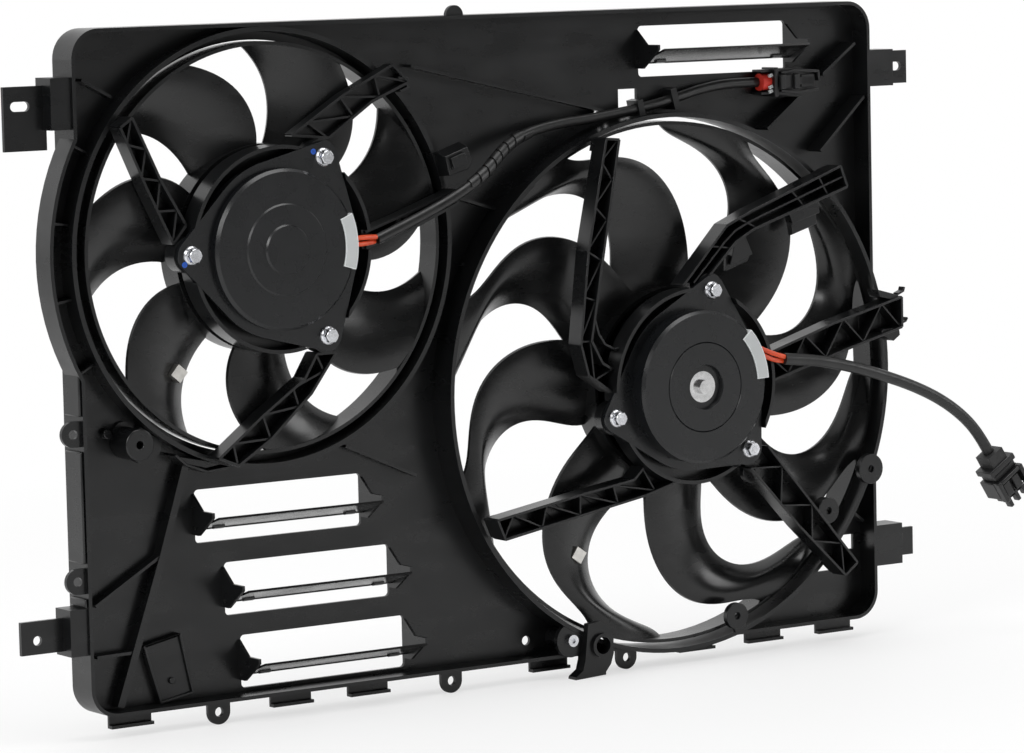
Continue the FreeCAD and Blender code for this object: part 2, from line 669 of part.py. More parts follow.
def make_flange(name, centre):
    low = S[name + "_flange_height"]
    top = low + S["flange_thick"]
    plate = ear_plate(centre, name, float(S["flange_radius"]), float(S["ear_radius"]), low, top)
    plate = plate.cut(disc(centre, S["can_radius"], low, top))
    hole = S["screw_radius"] + 3 * S["screw_fit"].value
    plate = cut_all(plate, [disc(p, hole, low, top) for p in screw_places(name, centre)])
    return feature(name + "_motor_flange", plate)


def make_end_plate(name, centre):
    back = S[name + "_face"] - S[name + "_can_length"]
    seat, collar = S["bearing_radius"], S["bearing_radius"] + S["collar_wall"]
    rim, top = S["can_radius"] - S["can_wall"], back + S["can_wall"]
    deep = back + S["bearing_width"] + 0.5
    body = turned(name + "_motor_end_plate", centre, [
        (seat, back), (seat, deep), (collar, deep), (collar, top), (rim, top), (rim, back)])
    return node(body, name + "_motor_end_plate")


def make_bearings(name, centre):
    """Two bearings, one in each end of the housing."""
    face = S[name + "_face"]
    back = face - S[name + "_can_length"]
    floor = face - S["can_face"] - 1
    parts = []
    for low in (back + 0.25, floor - S["bearing_width"]):
        outline = [(S["shaft_radius"] + S["shaft_fit"], low), (S["bearing_radius"], low),
                   (S["bearing_radius"], low + S["bearing_width"] - 0.5),
                   (S["shaft_radius"] + S["shaft_fit"], low + S["bearing_width"] - 0.5)]
        parts.append(turned(name + "Bearing", centre, outline))
    return group(name + "_motor_bearings", parts)


def core_span(name):
    low = S[name + "_face"] - S[name + "_can_length"] + S["core_lift"]
    return low, low + S[name + "_core_length"]


def make_magnets(name, centre):
    """Four curved magnets inside the housing, round the armature."""
    low, top = core_span(name)
    outer = float(S["can_radius"] - S["can_wall"] - S["magnet_gap"])
    ring = tube(centre, outer, outer - float(S["magnet_thick"]), low, top)
    half = float(S["magnet_angle"]) / 2
    parts = []
    for turn in (45, 135, 225, 315):
        wedge = prism([(float(centre[0]), float(centre[1])), around(centre, 2 * outer, turn - half),
                       around(centre, 2 * outer, turn), around(centre, 2 * outer, turn + half)], low, top)
        parts.append(ring.common(wedge))
    return feature(name + "_motor_magnets", Part.makeCompound(parts))


def make_core(name, centre):
    """Stack of armature sheets with slots for the winding."""
    low, top = core_span(name)
    radius = S["can_radius"] - S["can_wall"] - S["magnet_gap"] - S["magnet_thick"] - S["air_gap"]
    body = new_body(name + "_armature_core")
    pad(body, low, top, lambda s: add_circle(s, (0, 0), radius))
    pocket(body, low, top, lambda s: add_circle(s, (0, 0), S["shaft_radius"]))
    half = S["slot_width"] / 2
    slot = pocket(body, low, top, lambda s: add_polygon(
        s, box_outline(radius - S["slot_depth"], -half, radius + 1, half)))
    pattern = body.newObject("PartDesign::PolarPattern", "Slots")
    pattern.Originals = [slot]
    axis = [f for f in body.Origin.OriginFeatures if f.Role == "Y_Axis"][0]
    pattern.Axis = (axis, [""])
    pattern.Angle = 360
    pattern.setExpression("Occurrences", S["slot_count"].text)
    body.Tip = pattern
    place(body, centre[0], 0, centre[1])
    return node(body, name + "_armature_core")


def make_winding(name, centre):
    """Heads of the armature winding on both ends of the core."""
    low, top = core_span(name)
    inner, outer, reach = S["winding_inner"], S["winding_outer"], S["winding_length"]
    parts = [turned(name + "WindingHead", centre,
                    [(inner, a), (outer, a), (outer, b), (inner, b)])
             for a, b in ((low - reach, low), (top, top + reach))]
    return group(name + "_armature_winding", parts)


def make_commutator(name, centre):
    low = core_span(name)[1]
    top = low + S["commutator_length"]
    body = turned(name + "_commutator", centre, [
        (S["shaft_radius"], low), (S["commutator_radius"], low),
        (S["commutator_radius"], top), (S["shaft_radius"], top)])
    return node(body, name + "_commutator")


def brush_top(name):
    return core_span(name)[1] + S["commutator_length"] - S["brush_plate_gap"]


def make_brushes(name, centre):
    """Four carbon brushes round the commutator."""
    top = brush_top(name)
    near = float(S["commutator_radius"] + S["brush_gap"])
    half = float(S["brush_width"]) / 2
    x, z = float(centre[0]), float(centre[1])
    one = slab(x + near, z - half, x + near + float(S["brush_length"]), z + half,
               top - S["brush_height"], top)
    return feature(name + "_brushes", Part.makeCompound([spin(one, centre, turn) for turn in
                                                        (45, 135, 225, 315)]))


def make_brush_plate(name, centre):
    low = brush_top(name)
    top = low + S["brush_plate_thick"]
    inner = S["bearing_radius"] + S["collar_wall"] + 1.5
    outer = S["can_radius"] - S["can_wall"]
    body = turned(name + "_brush_plate", centre, [
        (inner, low), (outer - S["terminal_depth"], low), (outer - S["terminal_depth"], top), (inner, top)])
    return node(body, name + "_brush_plate")


def make_terminal(name, centre):
    """Pale terminal block let into the edge of the housing."""
    face = S[name + "_face"]
    block = terminal_sector(name, centre, S["can_radius"] - S["terminal_depth"], S["can_radius"] + 1.5,
                            face - S["terminal_height"], face, 0)
    return feature(name + "_terminal_block", block)


def make_screws(name, centre):
    """Three flanged hexagon screws that hold the motor to its carrier."""
    top = float(S[name + "_flange_height"] + S["flange_thick"])
    washer = top + float(S["washer_thick"])
    low = top - float(S["screw_length"])
    parts = []
    for index, place_at in enumerate(screw_places(name, centre)):
        corners = [around(place_at, float(S["screw_across"]) * 2 / math.sqrt(3), 60 * k + 17 * index)
                   for k in range(6)]
        head = prism(corners, washer, washer + float(S["screw_head"]))
        dimple = disc(place_at, 2.6, washer + float(S["screw_head"]) - 1.2, washer + 10)
        parts.append(fused([disc(place_at, S["screw_radius"], low, top),
                            disc(place_at, S["washer_radius"], top, washer), head.cut(dimple)]))
    return feature(name + "_motor_screws", Part.makeCompound(parts))


# --------------------------------------------------------------------------
# Motor carriers and the arms that hold them
# --------------------------------------------------------------------------
def make_carrier(name, centre):
    """Ring round the motor with a floor and three lugs, cut away over the motor's ears."""
    low, top = float(S[name + "_carrier_low"]), float(S[name + "_carrier_top"])
    radius, wall = float(S["carrier_radius"]), float(S["carrier_wall"])
    rest = float(S[name + "_flange_height"])
    parts = [tube(centre, radius, radius - wall, low, top),
             tube(centre, radius - wall, S["carrier_opening"], low, low + float(S["carrier_floor"]))]
    lugs = [disc(p, S["lug_radius"], low, rest) for p in screw_places(name, centre)]
    ring = fused(parts + lugs).cut(disc(centre, S["carrier_opening"], low - 1, top + 1))
    gap = float(S["ear_clearance"])
    room = ear_plate(centre, name, float(S["flange_radius"]) + gap,
                     float(S["ear_radius"]) + gap, rest, top + 1)
    hole = S["screw_radius"] + S["screw_fit"]
    tools = [room] + [disc(p, hole, low, rest) for p in screw_places(name, centre)]
    if name == "small":
        x, z = float(centre[0]) + radius, float(centre[1])
        tools.append(slab(x - 5, z - 4, x + 3, z + 9, low + 8.5, top + 1))
    return feature(name + "_motor_carrier", cut_all(ring, tools).removeSplitter())


def chord(points, width, low, high):
    """Wall that follows a line of points."""
    parts = [bar(a, b, width, low, high) for a, b in zip(points, points[1:])]
    parts += [disc(p, width / 2, low, high) for p in points[1:-1]]
    return fused(parts)


def along(points, share):
    """Point at a share of the length of a line of points."""
    runs = [math.dist(a, b) for a, b in zip(points, points[1:])]
    left = share * sum(runs)
    for (a, b), run in zip(zip(points, points[1:]), runs):
        if left <= run:
            part = left / run
            return (a[0] + (b[0] - a[0]) * part, a[1] + (b[1] - a[1]) * part)
        left -= run
    return points[-1]


def truss(upper, lower, low, high, bays):
    """Arm with two chord walls, a floor and zigzag ribs between the walls."""
    wall, rib, floor = float(S["arm_wall"]), float(S["arm_rib"]), float(S["arm_floor"])
    steps = 3 * bays
    top = [along(upper, k / steps) for k in range(steps + 1)]
    bottom = [along(lower, k / steps) for k in range(steps + 1)]
    parts = [chord(upper, wall, low, high), chord(lower, wall, low, high)]
    for k in range(steps):
        parts.append(prism([top[k], top[k + 1], bottom[k + 1], bottom[k]], low, low + floor))
    parts.append(bar(top[0], bottom[0], wall, low, high))
    parts.append(bar(top[-1], bottom[-1], wall, low, high))
    for k in range(bays):
        first, second = (upper, lower) if k % 2 else (lower, upper)
        parts.append(bar(along(first, k / bays), along(second, (k + 1) / bays), rib, low, high - 1.5))
    return fused(parts)


# Each arm: its two walls as lines of points, its number of bays and its depth
SMALL_ARMS = [
    ([(-89, 195), (-129, 176), (-170, 151)], [(-76, 183), (-106, 171), (-141, 148)], 6, 9),
    ([(-303, 162), (-285, 122), (-266, 84)], [(-294, 168), (-274, 126), (-256, 96)], 7, 14),
    ([(-236, -60), (-201, -34), (-168, -12), (-158, 4)], [(-221, -66), (-195, -50), (-163, -22), (-143, 4)], 7, 14),
    ([(-43, 108), (-87, 93), (-119, 83)], [(-42, 99), (-84, 82), (-117, 73)], 5, 14)]
LARGE_ARMS = [
    ([(75, 138), (58, 61), (50, -4), (56, -26), (82, -43)], [(86, 137), (71, 60), (59, -2), (68, -18), (90, -31)], 12, 15),
    ([(281, 109), (200, 81), (178, 72), (139, 32)], [(287, 94), (202, 68), (186, 60), (158, 34)], 9, 15),
    ([(336, 11), (273, -4), (208, -23)], [(336, -11), (279, -25), (210, -43)], 7, 15),
    ([(280, -188), (239, -149), (196, -103)], [(291, -180), (254, -137), (212, -89)], 6, 15),
    ([(-23, -120), (51, -108), (93, -102), (112, -84)], [(-17, -134), (60, -121), (102, -114), (132, -106)], 9, 15)]


def make_arms(name, centre, arms):
    """Arms from the ring's lip to the carrier; each has a foot on the lip and ends on the carrier."""
    low, lip, high = float(S[name + "_arm_low"]), float(S[name + "_lip_height"]), 80
    clear = disc(centre, float(S["carrier_radius"]) + 0.05, low - 1, high)
    lugs = [disc(p, float(S["lug_radius"]) + 0.05, low - 1, high) for p in screw_places(name, centre)]
    gap = float(S["ear_clearance"])
    room = ear_plate(centre, name, float(S["flange_radius"]) + gap, float(S["ear_radius"]) + gap,
                     float(S[name + "_flange_height"]), high)
    bore = disc(centre, float(S[name + "_bore"]), 0, high)
    parts = []
    for upper, lower, bays, depth in arms:
        arm = truss(upper, lower, low, low + depth, bays)
        if low > lip:
            arm = arm.fuse(prism([upper[0], upper[1], lower[1], lower[0]], lip, low).cut(bore))
        arm = cut_all(arm, [clear, room] + lugs)
        parts.append(max(arm.Solids, key=lambda solid: solid.Volume))
    return feature(name + "_carrier_arms", Part.makeCompound(parts))


# --------------------------------------------------------------------------
# Fans
# --------------------------------------------------------------------------
def blade_section(reach, lead, trail, front, back, thick):
    """Closed outline across a blade: a cambered plate on the plane at one distance from the axis."""
    mid = math.radians((lead + trail) / 2)
    out = Vector(math.cos(mid), 0, math.sin(mid))
    side = Vector(-math.sin(mid), 0, math.cos(mid))
    half = reach * math.tan(math.radians((trail - lead) / 2))
    a = out * reach - side * half + Vector(0, -front, 0)
    b = out * reach + side * half + Vector(0, -back, 0)
    chord_line = b - a
    normal = out.cross(chord_line).normalize()
    belly = (a + b) * 0.5 + normal * (0.09 * chord_line.Length)
    lift = normal * (thick / 2)
    upper = Part.Arc(a + lift, belly + lift, b + lift).toShape()
    lower = Part.Arc(b - lift, belly - lift, a - lift).toShape()
    return Part.Wire([upper, Part.makeLine(b + lift, b - lift), lower, Part.makeLine(a - lift, a + lift)])


# Blade edges: share of the band's radius, then the angles of the front and the rear edge
SMALL_BLADE = [(0.447, -23.5, 16.5), (0.582, -24, 14), (0.728, -19, 16), (0.873, -10, 21.5), (1.0, 0, 29)]
LARGE_BLADE = [(0.322, -47, 4.5), (0.488, -40, -4.5), (0.614, -35.5, -8), (0.741, -29, -5.5),
               (0.858, -18.5, 4), (1.0, 0, 22)]
SMALL_BLADE_COUNT = 7
# Each blade's place on its fan; the large fan's blades are spaced unevenly against noise
BLADE_TURNS = {
    "small": [66.5 + 360 * k / SMALL_BLADE_COUNT for k in range(SMALL_BLADE_COUNT)],
    "large": [67, 118, 158.5, 197.5, 248.5, 297, 339, 381]}


def make_fan(name, centre, sections):
    """Fan of one moulding: hub, swept blades and the band that joins their tips."""
    band = float(S[name + "_bore"] - S[name + "_band_gap"])
    low, top = float(S[name + "_band_low"]), float(S[name + "_band_top"])
    hub, wall = float(S[name + "_hub_radius"]), float(S["hub_wall"])
    back = float(S[name + "_face"] - S[name + "_can_length"])
    disc_low = back - float(S["hub_drop"])
    disc_top, hub_top = disc_low + float(S["hub_disc"]), float(S[name + "_hub_top"])
    inner = band - float(S["band_wall"])
    axis = (0, 0)
    parts = [tube(axis, band, inner, low, top),
             tube(axis, hub, hub - wall, disc_low, hub_top),
             tube(axis, hub, S["shaft_radius"], disc_low, disc_top),
             tube(axis, S["hub_boss_radius"], S["shaft_radius"], disc_low, back - float(S["hub_boss_gap"]))]
    wires = []
    front, rear = float(S[name + "_blade_front"]), float(S[name + "_blade_rear"])
    for share, lead, trail in sections:
        wires.append(blade_section(share * band, lead, trail, front, rear, float(S["blade_thick"])))
    blade = Part.makeLoft(wires, True, False)
    room = tube(axis, band - 1, hub - wall + 0.5, disc_low, max(hub_top, top))
    blade = blade.common(room)
    parts += [spin(blade, axis, turn) for turn in BLADE_TURNS[name]]
    whole = fused(parts)
    whole.translate(at(centre[0], centre[1], 0))
    return feature(name + "_fan", whole)


def make_shaft(name, centre):
    face = S[name + "_face"]
    low = face - S[name + "_can_length"] - S["hub_drop"] - S["shaft_tail"]
    top = face - S["can_face"] - 1.5 if name == "small" else face - 0.5
    shaft = doc.addObject("Part::Cylinder", name + "_shaft")
    shaft.Placement = Placement(Vector(0, 0, 0), Rotation(Vector(1, 0, 0), 90))
    shaft.setExpression("Radius", S["shaft_radius"].text)
    shaft.setExpression("Height", (top - low).text)
    place(shaft, centre[0], low, centre[1])
    return node(shaft, name + "_motor_shaft")


def make_nut(name, centre):
    top = float(S[name + "_face"] - S[name + "_can_length"] - S["hub_drop"])
    corners = [around(centre, float(S["nut_radius"]) * 2 / math.sqrt(3), 60 * k) for k in range(6)]
    low = top - float(S["nut_length"])
    return feature(name + "_fan_nut", prism(corners, low, top).cut(disc(centre, S["shaft_radius"], low, top)))


BALANCE = {"small": (105, 229, 9), "large": (141, 235.5, 9)}


def make_balance_clip(name, centre, fan):
    """Small steel clip pushed over the edge of one blade."""
    reach, angle, size = BALANCE[name]
    middle = around(centre, reach, angle)
    low, top = float(S[name + "_band_low"]), float(S[name + "_band_top"])
    block = spin(slab(middle[0] - size / 2, middle[1] - size / 2, middle[0] + size / 2, middle[1] + size / 2,
                      low, top), middle, angle)
    edge = fan.Shape.common(block)
    box = edge.BoundBox
    shell = spin(slab(middle[0] - size / 2, middle[1] - size / 2, middle[0] + size / 2, middle[1] + size / 2,
                      max(-box.YMax - 1, low), min(-box.YMin + 1, top - 1)), middle, angle)
    clip = shell.cut(fan.Shape)
    return feature(name + "_balance_clip", min(clip.Solids, key=lambda solid: solid.CenterOfMass.y))


# --------------------------------------------------------------------------
# Wiring
# --------------------------------------------------------------------------
def rounded_path(points):
    """Straight runs joined by tangent arcs; returns the wire, its length and the arc radii."""
    places = [Vector(*p) for p in points]
    edges, radii, start = [], [], places[0]
    for before, corner, after in zip(places, places[1:], places[2:]):
        way_in, way_out = (corner - before), (after - corner)
        share = 0.45 * min(way_in.Length, way_out.Length)
        turn = way_in.getAngle(way_out)
        radii.append(share / math.tan(turn / 2))
        first = corner - way_in.normalize() * share
        last = corner + way_out.normalize() * share
        bisector = (first + last) * 0.5 - corner
        depth = radii[-1] / math.cos(turn / 2) - radii[-1]
        middle = corner + bisector.normalize() * depth
        edges.append(Part.LineSegment(start, first).toShape())
        edges.append(Part.Arc(first, middle, last).toShape())
        start = last
    edges.append(Part.LineSegment(start, places[-1]).toShape())
    wire = Part.Wire(edges)
    return wire, wire.Length, radii


def tube_along(label, points, radius):
    """Round tube along a route of (x, z, height) points, with its volume checked."""
    wire, length, radii = rounded_path([(x, -height, z) for x, z, height in points])
    first = wire.Edges[0]
    way = first.tangentAt(first.FirstParameter)
    ring = Part.Wire([Part.Circle(wire.Vertexes[0].Point, way, radius).toShape()])
    solid = wire.makePipeShell([ring], True, True)
    share = solid.Volume / (math.pi * radius ** 2 * length)
    print("%s: length %.1f, least radius %.1f, volume share %.4f" % (label, length, min(radii), share))
    return solid


SMALL_ROUTE = [(-111, 78.5, 44.2), (-84, 88.5, 44.2), (-57, 99.5, 44.4), (-34, 110.5, 44.2), (-15, 121.5, 38.5),
               (3, 133, 29), (24, 142.5, 21.2), (53, 148.5, 20), (85, 151, 19.5), (112, 154.2, 18.5),
               (136, 157.5, 17.5), (160, 162, 15.5), (186, 168, 13.5), (212, 171, 13), (236, 170.5, 13)]
LARGE_ROUTE = [(217, -25, 64), (241, -27, 64), (271, -33, 64), (303, -42, 64), (335, -53, 64),
               (361, -65, 64), (382, -79, 64), (397, -94, 64), (406, -108, 64)]
SMALL_WIRES = [[(-133, 80.5, 49.5), (-122, 80.8, 48), (-112.5, 80.3, 45.6)],
               [(-133, 76.2, 49.5), (-122, 76.6, 47.4), (-112.5, 77.2, 43.4)]]
LARGE_WIRES = [[(194, -15, 64.6), (207, -20.4, 65), (217, -23.4, 65.2)],
               [(196, -20, 64.6), (208, -25, 63.6), (217, -26.4, 62.8)]]


def make_wires(name, routes, end, block):
    """Pair of insulated wires from the terminal block into the end of the cable."""
    parts = []
    for route in routes:
        solid = tube_along(name + " wire", route, float(S["wire_radius"]))
        parts.append(solid.cut(end).cut(block))
    return feature(name + "_motor_wires", Part.makeCompound(parts))


def make_wiring(small_block, large_block):
    small_cable = tube_along("small cable", SMALL_ROUTE, float(S["cable_radius"]))
    large_cable = tube_along("large cable", LARGE_ROUTE, float(S["cord_radius"]))
    make_wires("small", SMALL_WIRES, small_cable, small_block)
    make_wires("large", LARGE_WIRES, large_cable, large_block)
    feature("small_motor_cable", small_cable)
    feature("large_motor_cable", large_cable)
    make_small_connector()
    make_large_connector()
    make_cable_clips(small_cable)


def make_small_connector():
    """Plug housing lying on the panel, with its latch bridge and a soft seal where the cable goes in."""
    ground = float(PANEL_TOP)
    body = fused([slab(246, 161, 270, 180, ground, ground + 13), slab(270, 163, 286, 178, ground, ground + 11),
                  slab(250, 166, 266, 175, ground + 13, ground + 16), slab(262, 168, 280, 173, ground + 11, ground + 14)])
    feature("small_connector", body)
    seal = Part.makeCylinder(6.2, 10, at(236, 170.5, 15.5), Vector(1, 0, 0))
    route_end = Part.makeCylinder(float(S["cable_radius"]) + 0.05, 20, at(226, 170.5, 13), Vector(1, 0, 0))
    feature("small_connector_seal", seal.cut(route_end))


def make_large_connector():
    """Plug on the free end of the large motor's cable, in line with the cable's last run."""
    end, before = LARGE_ROUTE[-1], LARGE_ROUTE[-2]
    angle = math.degrees(math.atan2(end[1] - before[1], end[0] - before[0]))
    x, z, height = end
    seal = fused([slab(x, z - 7.5, x + 9, z + 7.5, height - 7.5, height + 7.5)])
    body = fused([slab(x + 9, z - 11, x + 34, z + 11, height - 10, height + 10),
                  slab(x + 34, z - 9, x + 44, z + 9, height - 8, height + 8),
                  slab(x + 14, z - 5, x + 30, z + 5, height + 10, height + 14),
                  slab(x + 12, z + 11, x + 22, z + 14, height - 6, height + 6)])
    feature("large_connector_seal", spin(seal, (x, z), angle))
    feature("large_connector", spin(body, (x, z), angle))


def make_cable_clips(cable):
    """Two moulded clips that hold the small motor's cable down on the panel."""
    ground = float(PANEL_TOP)
    ring = disc(LARGE, LARGE_OUTER + S["ring_clearance"], ground, ground + 20)
    parts = []
    for (x, z), angle, top in (((127, 155), 13, 22.5), ((158, 162), 15, 20.5)):
        block = slab(x - 2.5, z - 7.5, x + 2.5, z + 7.5, ground, top)
        parts.append(spin(block, (x, z), angle).cut(cable).cut(ring))
    return feature("cable_clips", Part.makeCompound(parts))


# --------------------------------------------------------------------------
# Hose clip at the foot of the large fan
# --------------------------------------------------------------------------
HOSE_RADIUS, HOSE_WALL, HOSE_SPOT, HOSE_SCREW = 6, 2.5, (71, -218.5), (49, -213.4)
# Outline of the strap, from the eye's centre
HOSE_STRAP = [(-11, 16), (0, 17), (7, 12), (10.5, 4), (10.5, -6.5), (8, -14), (3.5, -19.3),
              (3.5, -21.3), (-22.5, -22.5), (-22, -20.5), (-16, -16.5), (-14, -9.5)]


def make_hose_clip():
    """Strap with an eye for a pipe, and a round foot screwed on a boss of the panel."""
    low = float(PANEL_TOP) + BOSSES[2][4]
    top = low + 12
    eye = disc(HOSE_SPOT, HOSE_RADIUS + HOSE_WALL, low, top)
    strap = prism([(HOSE_SPOT[0] + x, HOSE_SPOT[1] + z) for x, z in HOSE_STRAP], low, top - 2.5)
    foot = disc(HOSE_SCREW, 12, low, low + 4).fuse(bar(HOSE_SCREW, HOSE_SPOT, 14, low, low + 4))
    body = fused([foot, strap, eye]).cut(disc(HOSE_SPOT, HOSE_RADIUS, low - 1, top + 1))
    body = body.cut(disc(HOSE_SCREW, 2.2, low - 1, top))
    lip = S["large_bore"] + S["large_lip"] + S["ring_clearance"]
    body = body.cut(disc(LARGE, lip, 0, S["large_lip_height"] + S["ring_clearance"]))
    feature("hose_clip", body.removeSplitter())
    head = disc(HOSE_SCREW, 4.2, low + 4, low + 7).cut(disc(HOSE_SCREW, 1.8, low + 5.5, low + 7))
    shank = disc(HOSE_SCREW, 1.6, low - 14, low + 4.5)
    feature("hose_clip_screw", head.fuse(shank).removeSplitter())


# --------------------------------------------------------------------------
# The whole assembly
# --------------------------------------------------------------------------
def make_motor(name, centre):
    make_can(name, centre)
    make_flange(name, centre)
    make_end_plate(name, centre)
    make_bearings(name, centre)
    make_magnets(name, centre)
    make_core(name, centre)
    make_winding(name, centre)
    make_commutator(name, centre)
    make_brushes(name, centre)
    make_brush_plate(name, centre)
    make_screws(name, centre)
    return make_terminal(name, centre).Shape


def make_rotor(name, centre, sections):
    fan = make_fan(name, centre, sections)
    make_shaft(name, centre)
    make_nut(name, centre)
    make_balance_clip(name, centre, fan)


def check_document():
    """Every object has to be up to date, and every sub-part a valid solid shape."""
    doc.recompute()
    for thing in doc.Objects:
        if "Invalid" in thing.State or "Error" in thing.State:
            raise RuntimeError("%s (%s) failed: %s" % (thing.Name, thing.Label, thing.State))
    for thing in NODES:
        shape = thing.Shape
        if shape.isNull() or not shape.isValid() or not shape.Solids:
            raise RuntimeError("%s has no valid solid" % thing.Label)


def export_nodes():
    os.makedirs("parts", exist_ok=True)
    for thing in NODES:
        thing.Shape.exportStep("parts/%s.step" % thing.Label)
        box = thing.Shape.BoundBox
        print("%-24s solids %2d  volume %9.0f  x %.1f..%.1f  y %.1f..%.1f  z %.1f..%.1f" % (
            thing.Label, len(thing.Shape.Solids), thing.Shape.Volume,
            box.XMin, box.XMax, box.YMin, box.YMax, box.ZMin, box.ZMax))


make_rim()
make_panel()
make_window_panels()
make_ring("small", SMALL)
make_ring("large", LARGE)
make_ears_and_hooks()
make_tabs()
make_ribs()
make_brackets()
for number, window in enumerate(WINDOWS, start=1):
    make_flap(number, window)
small_terminal = make_motor("small", SMALL)
large_terminal = make_motor("large", LARGE)
make_carrier("small", SMALL)
make_carrier("large", LARGE)
make_arms("small", SMALL, SMALL_ARMS)
make_arms("large", LARGE, LARGE_ARMS)
make_rotor("small", SMALL, SMALL_BLADE)
make_rotor("large", LARGE, LARGE_BLADE)
make_wiring(small_terminal, large_terminal)
make_hose_clip()
check_document()
export_nodes()
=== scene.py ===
"""Looks of the radiator fan shroud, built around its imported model.

Places are given as in the model: x across the shroud, z up, and a height that counts forward
from the plane of the radiator, all in millimetres; spot() turns them into metres.
"""

import math

import bmesh
import bpy
from mathutils import Matrix, Vector


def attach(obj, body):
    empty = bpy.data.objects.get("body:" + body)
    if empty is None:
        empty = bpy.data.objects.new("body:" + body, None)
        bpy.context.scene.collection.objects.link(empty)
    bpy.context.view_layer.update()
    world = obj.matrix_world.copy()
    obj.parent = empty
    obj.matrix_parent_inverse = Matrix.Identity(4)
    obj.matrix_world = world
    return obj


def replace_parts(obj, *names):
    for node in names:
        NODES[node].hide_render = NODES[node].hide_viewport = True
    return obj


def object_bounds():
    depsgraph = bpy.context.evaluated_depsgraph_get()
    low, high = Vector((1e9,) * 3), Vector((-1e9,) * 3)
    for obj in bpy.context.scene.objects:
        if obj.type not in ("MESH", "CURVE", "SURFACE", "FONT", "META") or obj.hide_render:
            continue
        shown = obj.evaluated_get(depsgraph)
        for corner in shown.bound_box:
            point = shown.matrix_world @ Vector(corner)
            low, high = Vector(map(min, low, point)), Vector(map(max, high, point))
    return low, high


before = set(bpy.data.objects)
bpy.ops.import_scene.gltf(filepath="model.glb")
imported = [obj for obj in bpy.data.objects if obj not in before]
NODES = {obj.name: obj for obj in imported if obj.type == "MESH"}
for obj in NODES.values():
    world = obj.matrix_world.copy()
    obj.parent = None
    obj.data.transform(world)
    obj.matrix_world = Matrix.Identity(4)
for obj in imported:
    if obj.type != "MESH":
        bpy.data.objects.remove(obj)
CAD_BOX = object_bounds()

# Axes of the two fans
SMALL = (-186.4, 76.2)
LARGE = (145.0, -39.5)

# Heights: the panel's front, the rings' lips, what stands on a lip, and the motor flanges' front
PANEL_TOP = 9
LARGE_LIP_TOP = 33
ON_SMALL_LIP = 26.2
ON_LARGE_LIP = 33.2
SMALL_FLANGE_TOP = 45
LARGE_FLANGE_TOP = 53

SHARP = math.radians(40)


def spot(x, z, height):
    """A place on the shroud, in metres."""
    return Vector((x, -height, z)) / 1000


# --------------------------------------------------------------------------
# Materials
# --------------------------------------------------------------------------
def map_range(tree, source, start, end, low, high):
    """Maps start to low and end to high, in any node tree."""
    node = tree.nodes.new("ShaderNodeMapRange")
    node.inputs["From Min"].default_value = start
    node.inputs["From Max"].default_value = end
    node.inputs["To Min"].default_value = low
    node.inputs["To Max"].default_value = high
    tree.links.new(source, node.inputs["Value"])
    return node.outputs["Result"]


class Shader:
    """A node material whose helpers read from top to bottom."""

    def __init__(self, name):
        self.material = bpy.data.materials.new(name)
        self.material.use_nodes = True
        self.tree = self.material.node_tree
        self.surface = self.tree.nodes["Principled BSDF"]
        self.place = self.add("ShaderNodeTexCoord").outputs["Object"]

    def add(self, kind, **settings):
        node = self.tree.nodes.new(kind)
        for key, value in settings.items():
            setattr(node, key, value)
        return node

    def join(self, source, target):
        self.tree.links.new(source, target)

    def set(self, **values):
        for key, value in values.items():
            self.surface.inputs[key.replace("_", " ")].default_value = value

    def noise(self, scale, detail=3.0, rough=0.55, stretch=(1, 1, 1)):
        """Noise over the object's own coordinates; scale is in features per metre."""
        mapping = self.add("ShaderNodeMapping")
        mapping.inputs["Scale"].default_value = stretch
        self.join(self.place, mapping.inputs["Vector"])
        texture = self.add("ShaderNodeTexNoise")
        texture.inputs["Scale"].default_value = scale
        texture.inputs["Detail"].default_value = detail
        texture.inputs["Roughness"].default_value = rough
        self.join(mapping.outputs["Vector"], texture.inputs["Vector"])
        return texture.outputs["Fac"]

    def ramp(self, source, low, high, start=0.35, end=0.65):
        """Spreads the middle of a noise between two plain numbers."""
        return map_range(self.tree, source, start, end, low, high)

    def tint(self, source, dark, light):
        """Colour that runs from dark to light with a value that goes from 0 to 1."""
        return self.blend(source, (*dark, 1), (*light, 1))

    def blend(self, share, first, second):
        """Mix of two colours, each a plain colour or a socket."""
        node = self.add("ShaderNodeMix", data_type="RGBA")
        self.join(share, node.inputs[0])
        for colour, target in ((first, node.inputs[6]), (second, node.inputs[7])):
            if isinstance(colour, tuple):
                target.default_value = colour
            else:
                self.join(colour, target)
        return node.outputs[2]

    def rubbed_and_highlit_edges(self, colour, edge_wear_and_highlight, radius=0.0012, strength=0.5):
        """Lightens the corners of a moulding: partly rubbed wear, partly a painted highlight along its
        edges.
        """
        bevel = self.add("ShaderNodeBevel", samples=4)
        bevel.inputs["Radius"].default_value = radius
        geometry = self.add("ShaderNodeNewGeometry")
        dot = self.add("ShaderNodeVectorMath", operation="DOT_PRODUCT")
        self.join(bevel.outputs["Normal"], dot.inputs[0])
        self.join(geometry.outputs["Normal"], dot.inputs[1])
        edge = self.ramp(dot.outputs["Value"], strength, 0.0, 0.8, 0.995)
        return self.blend(edge, colour, (*edge_wear_and_highlight, 1))

    def bump(self, *layers):
        """Adds bumps; each layer is (height, strength, distance)."""
        normal = None
        for height, strength, distance in layers:
            node = self.add("ShaderNodeBump")
            node.inputs["Strength"].default_value = strength
            node.inputs["Distance"].default_value = distance
            self.join(height, node.inputs["Height"])
            if normal is not None:
                self.join(normal, node.inputs["Normal"])
            normal = node.outputs["Normal"]
        self.join(normal, self.surface.inputs["Normal"])


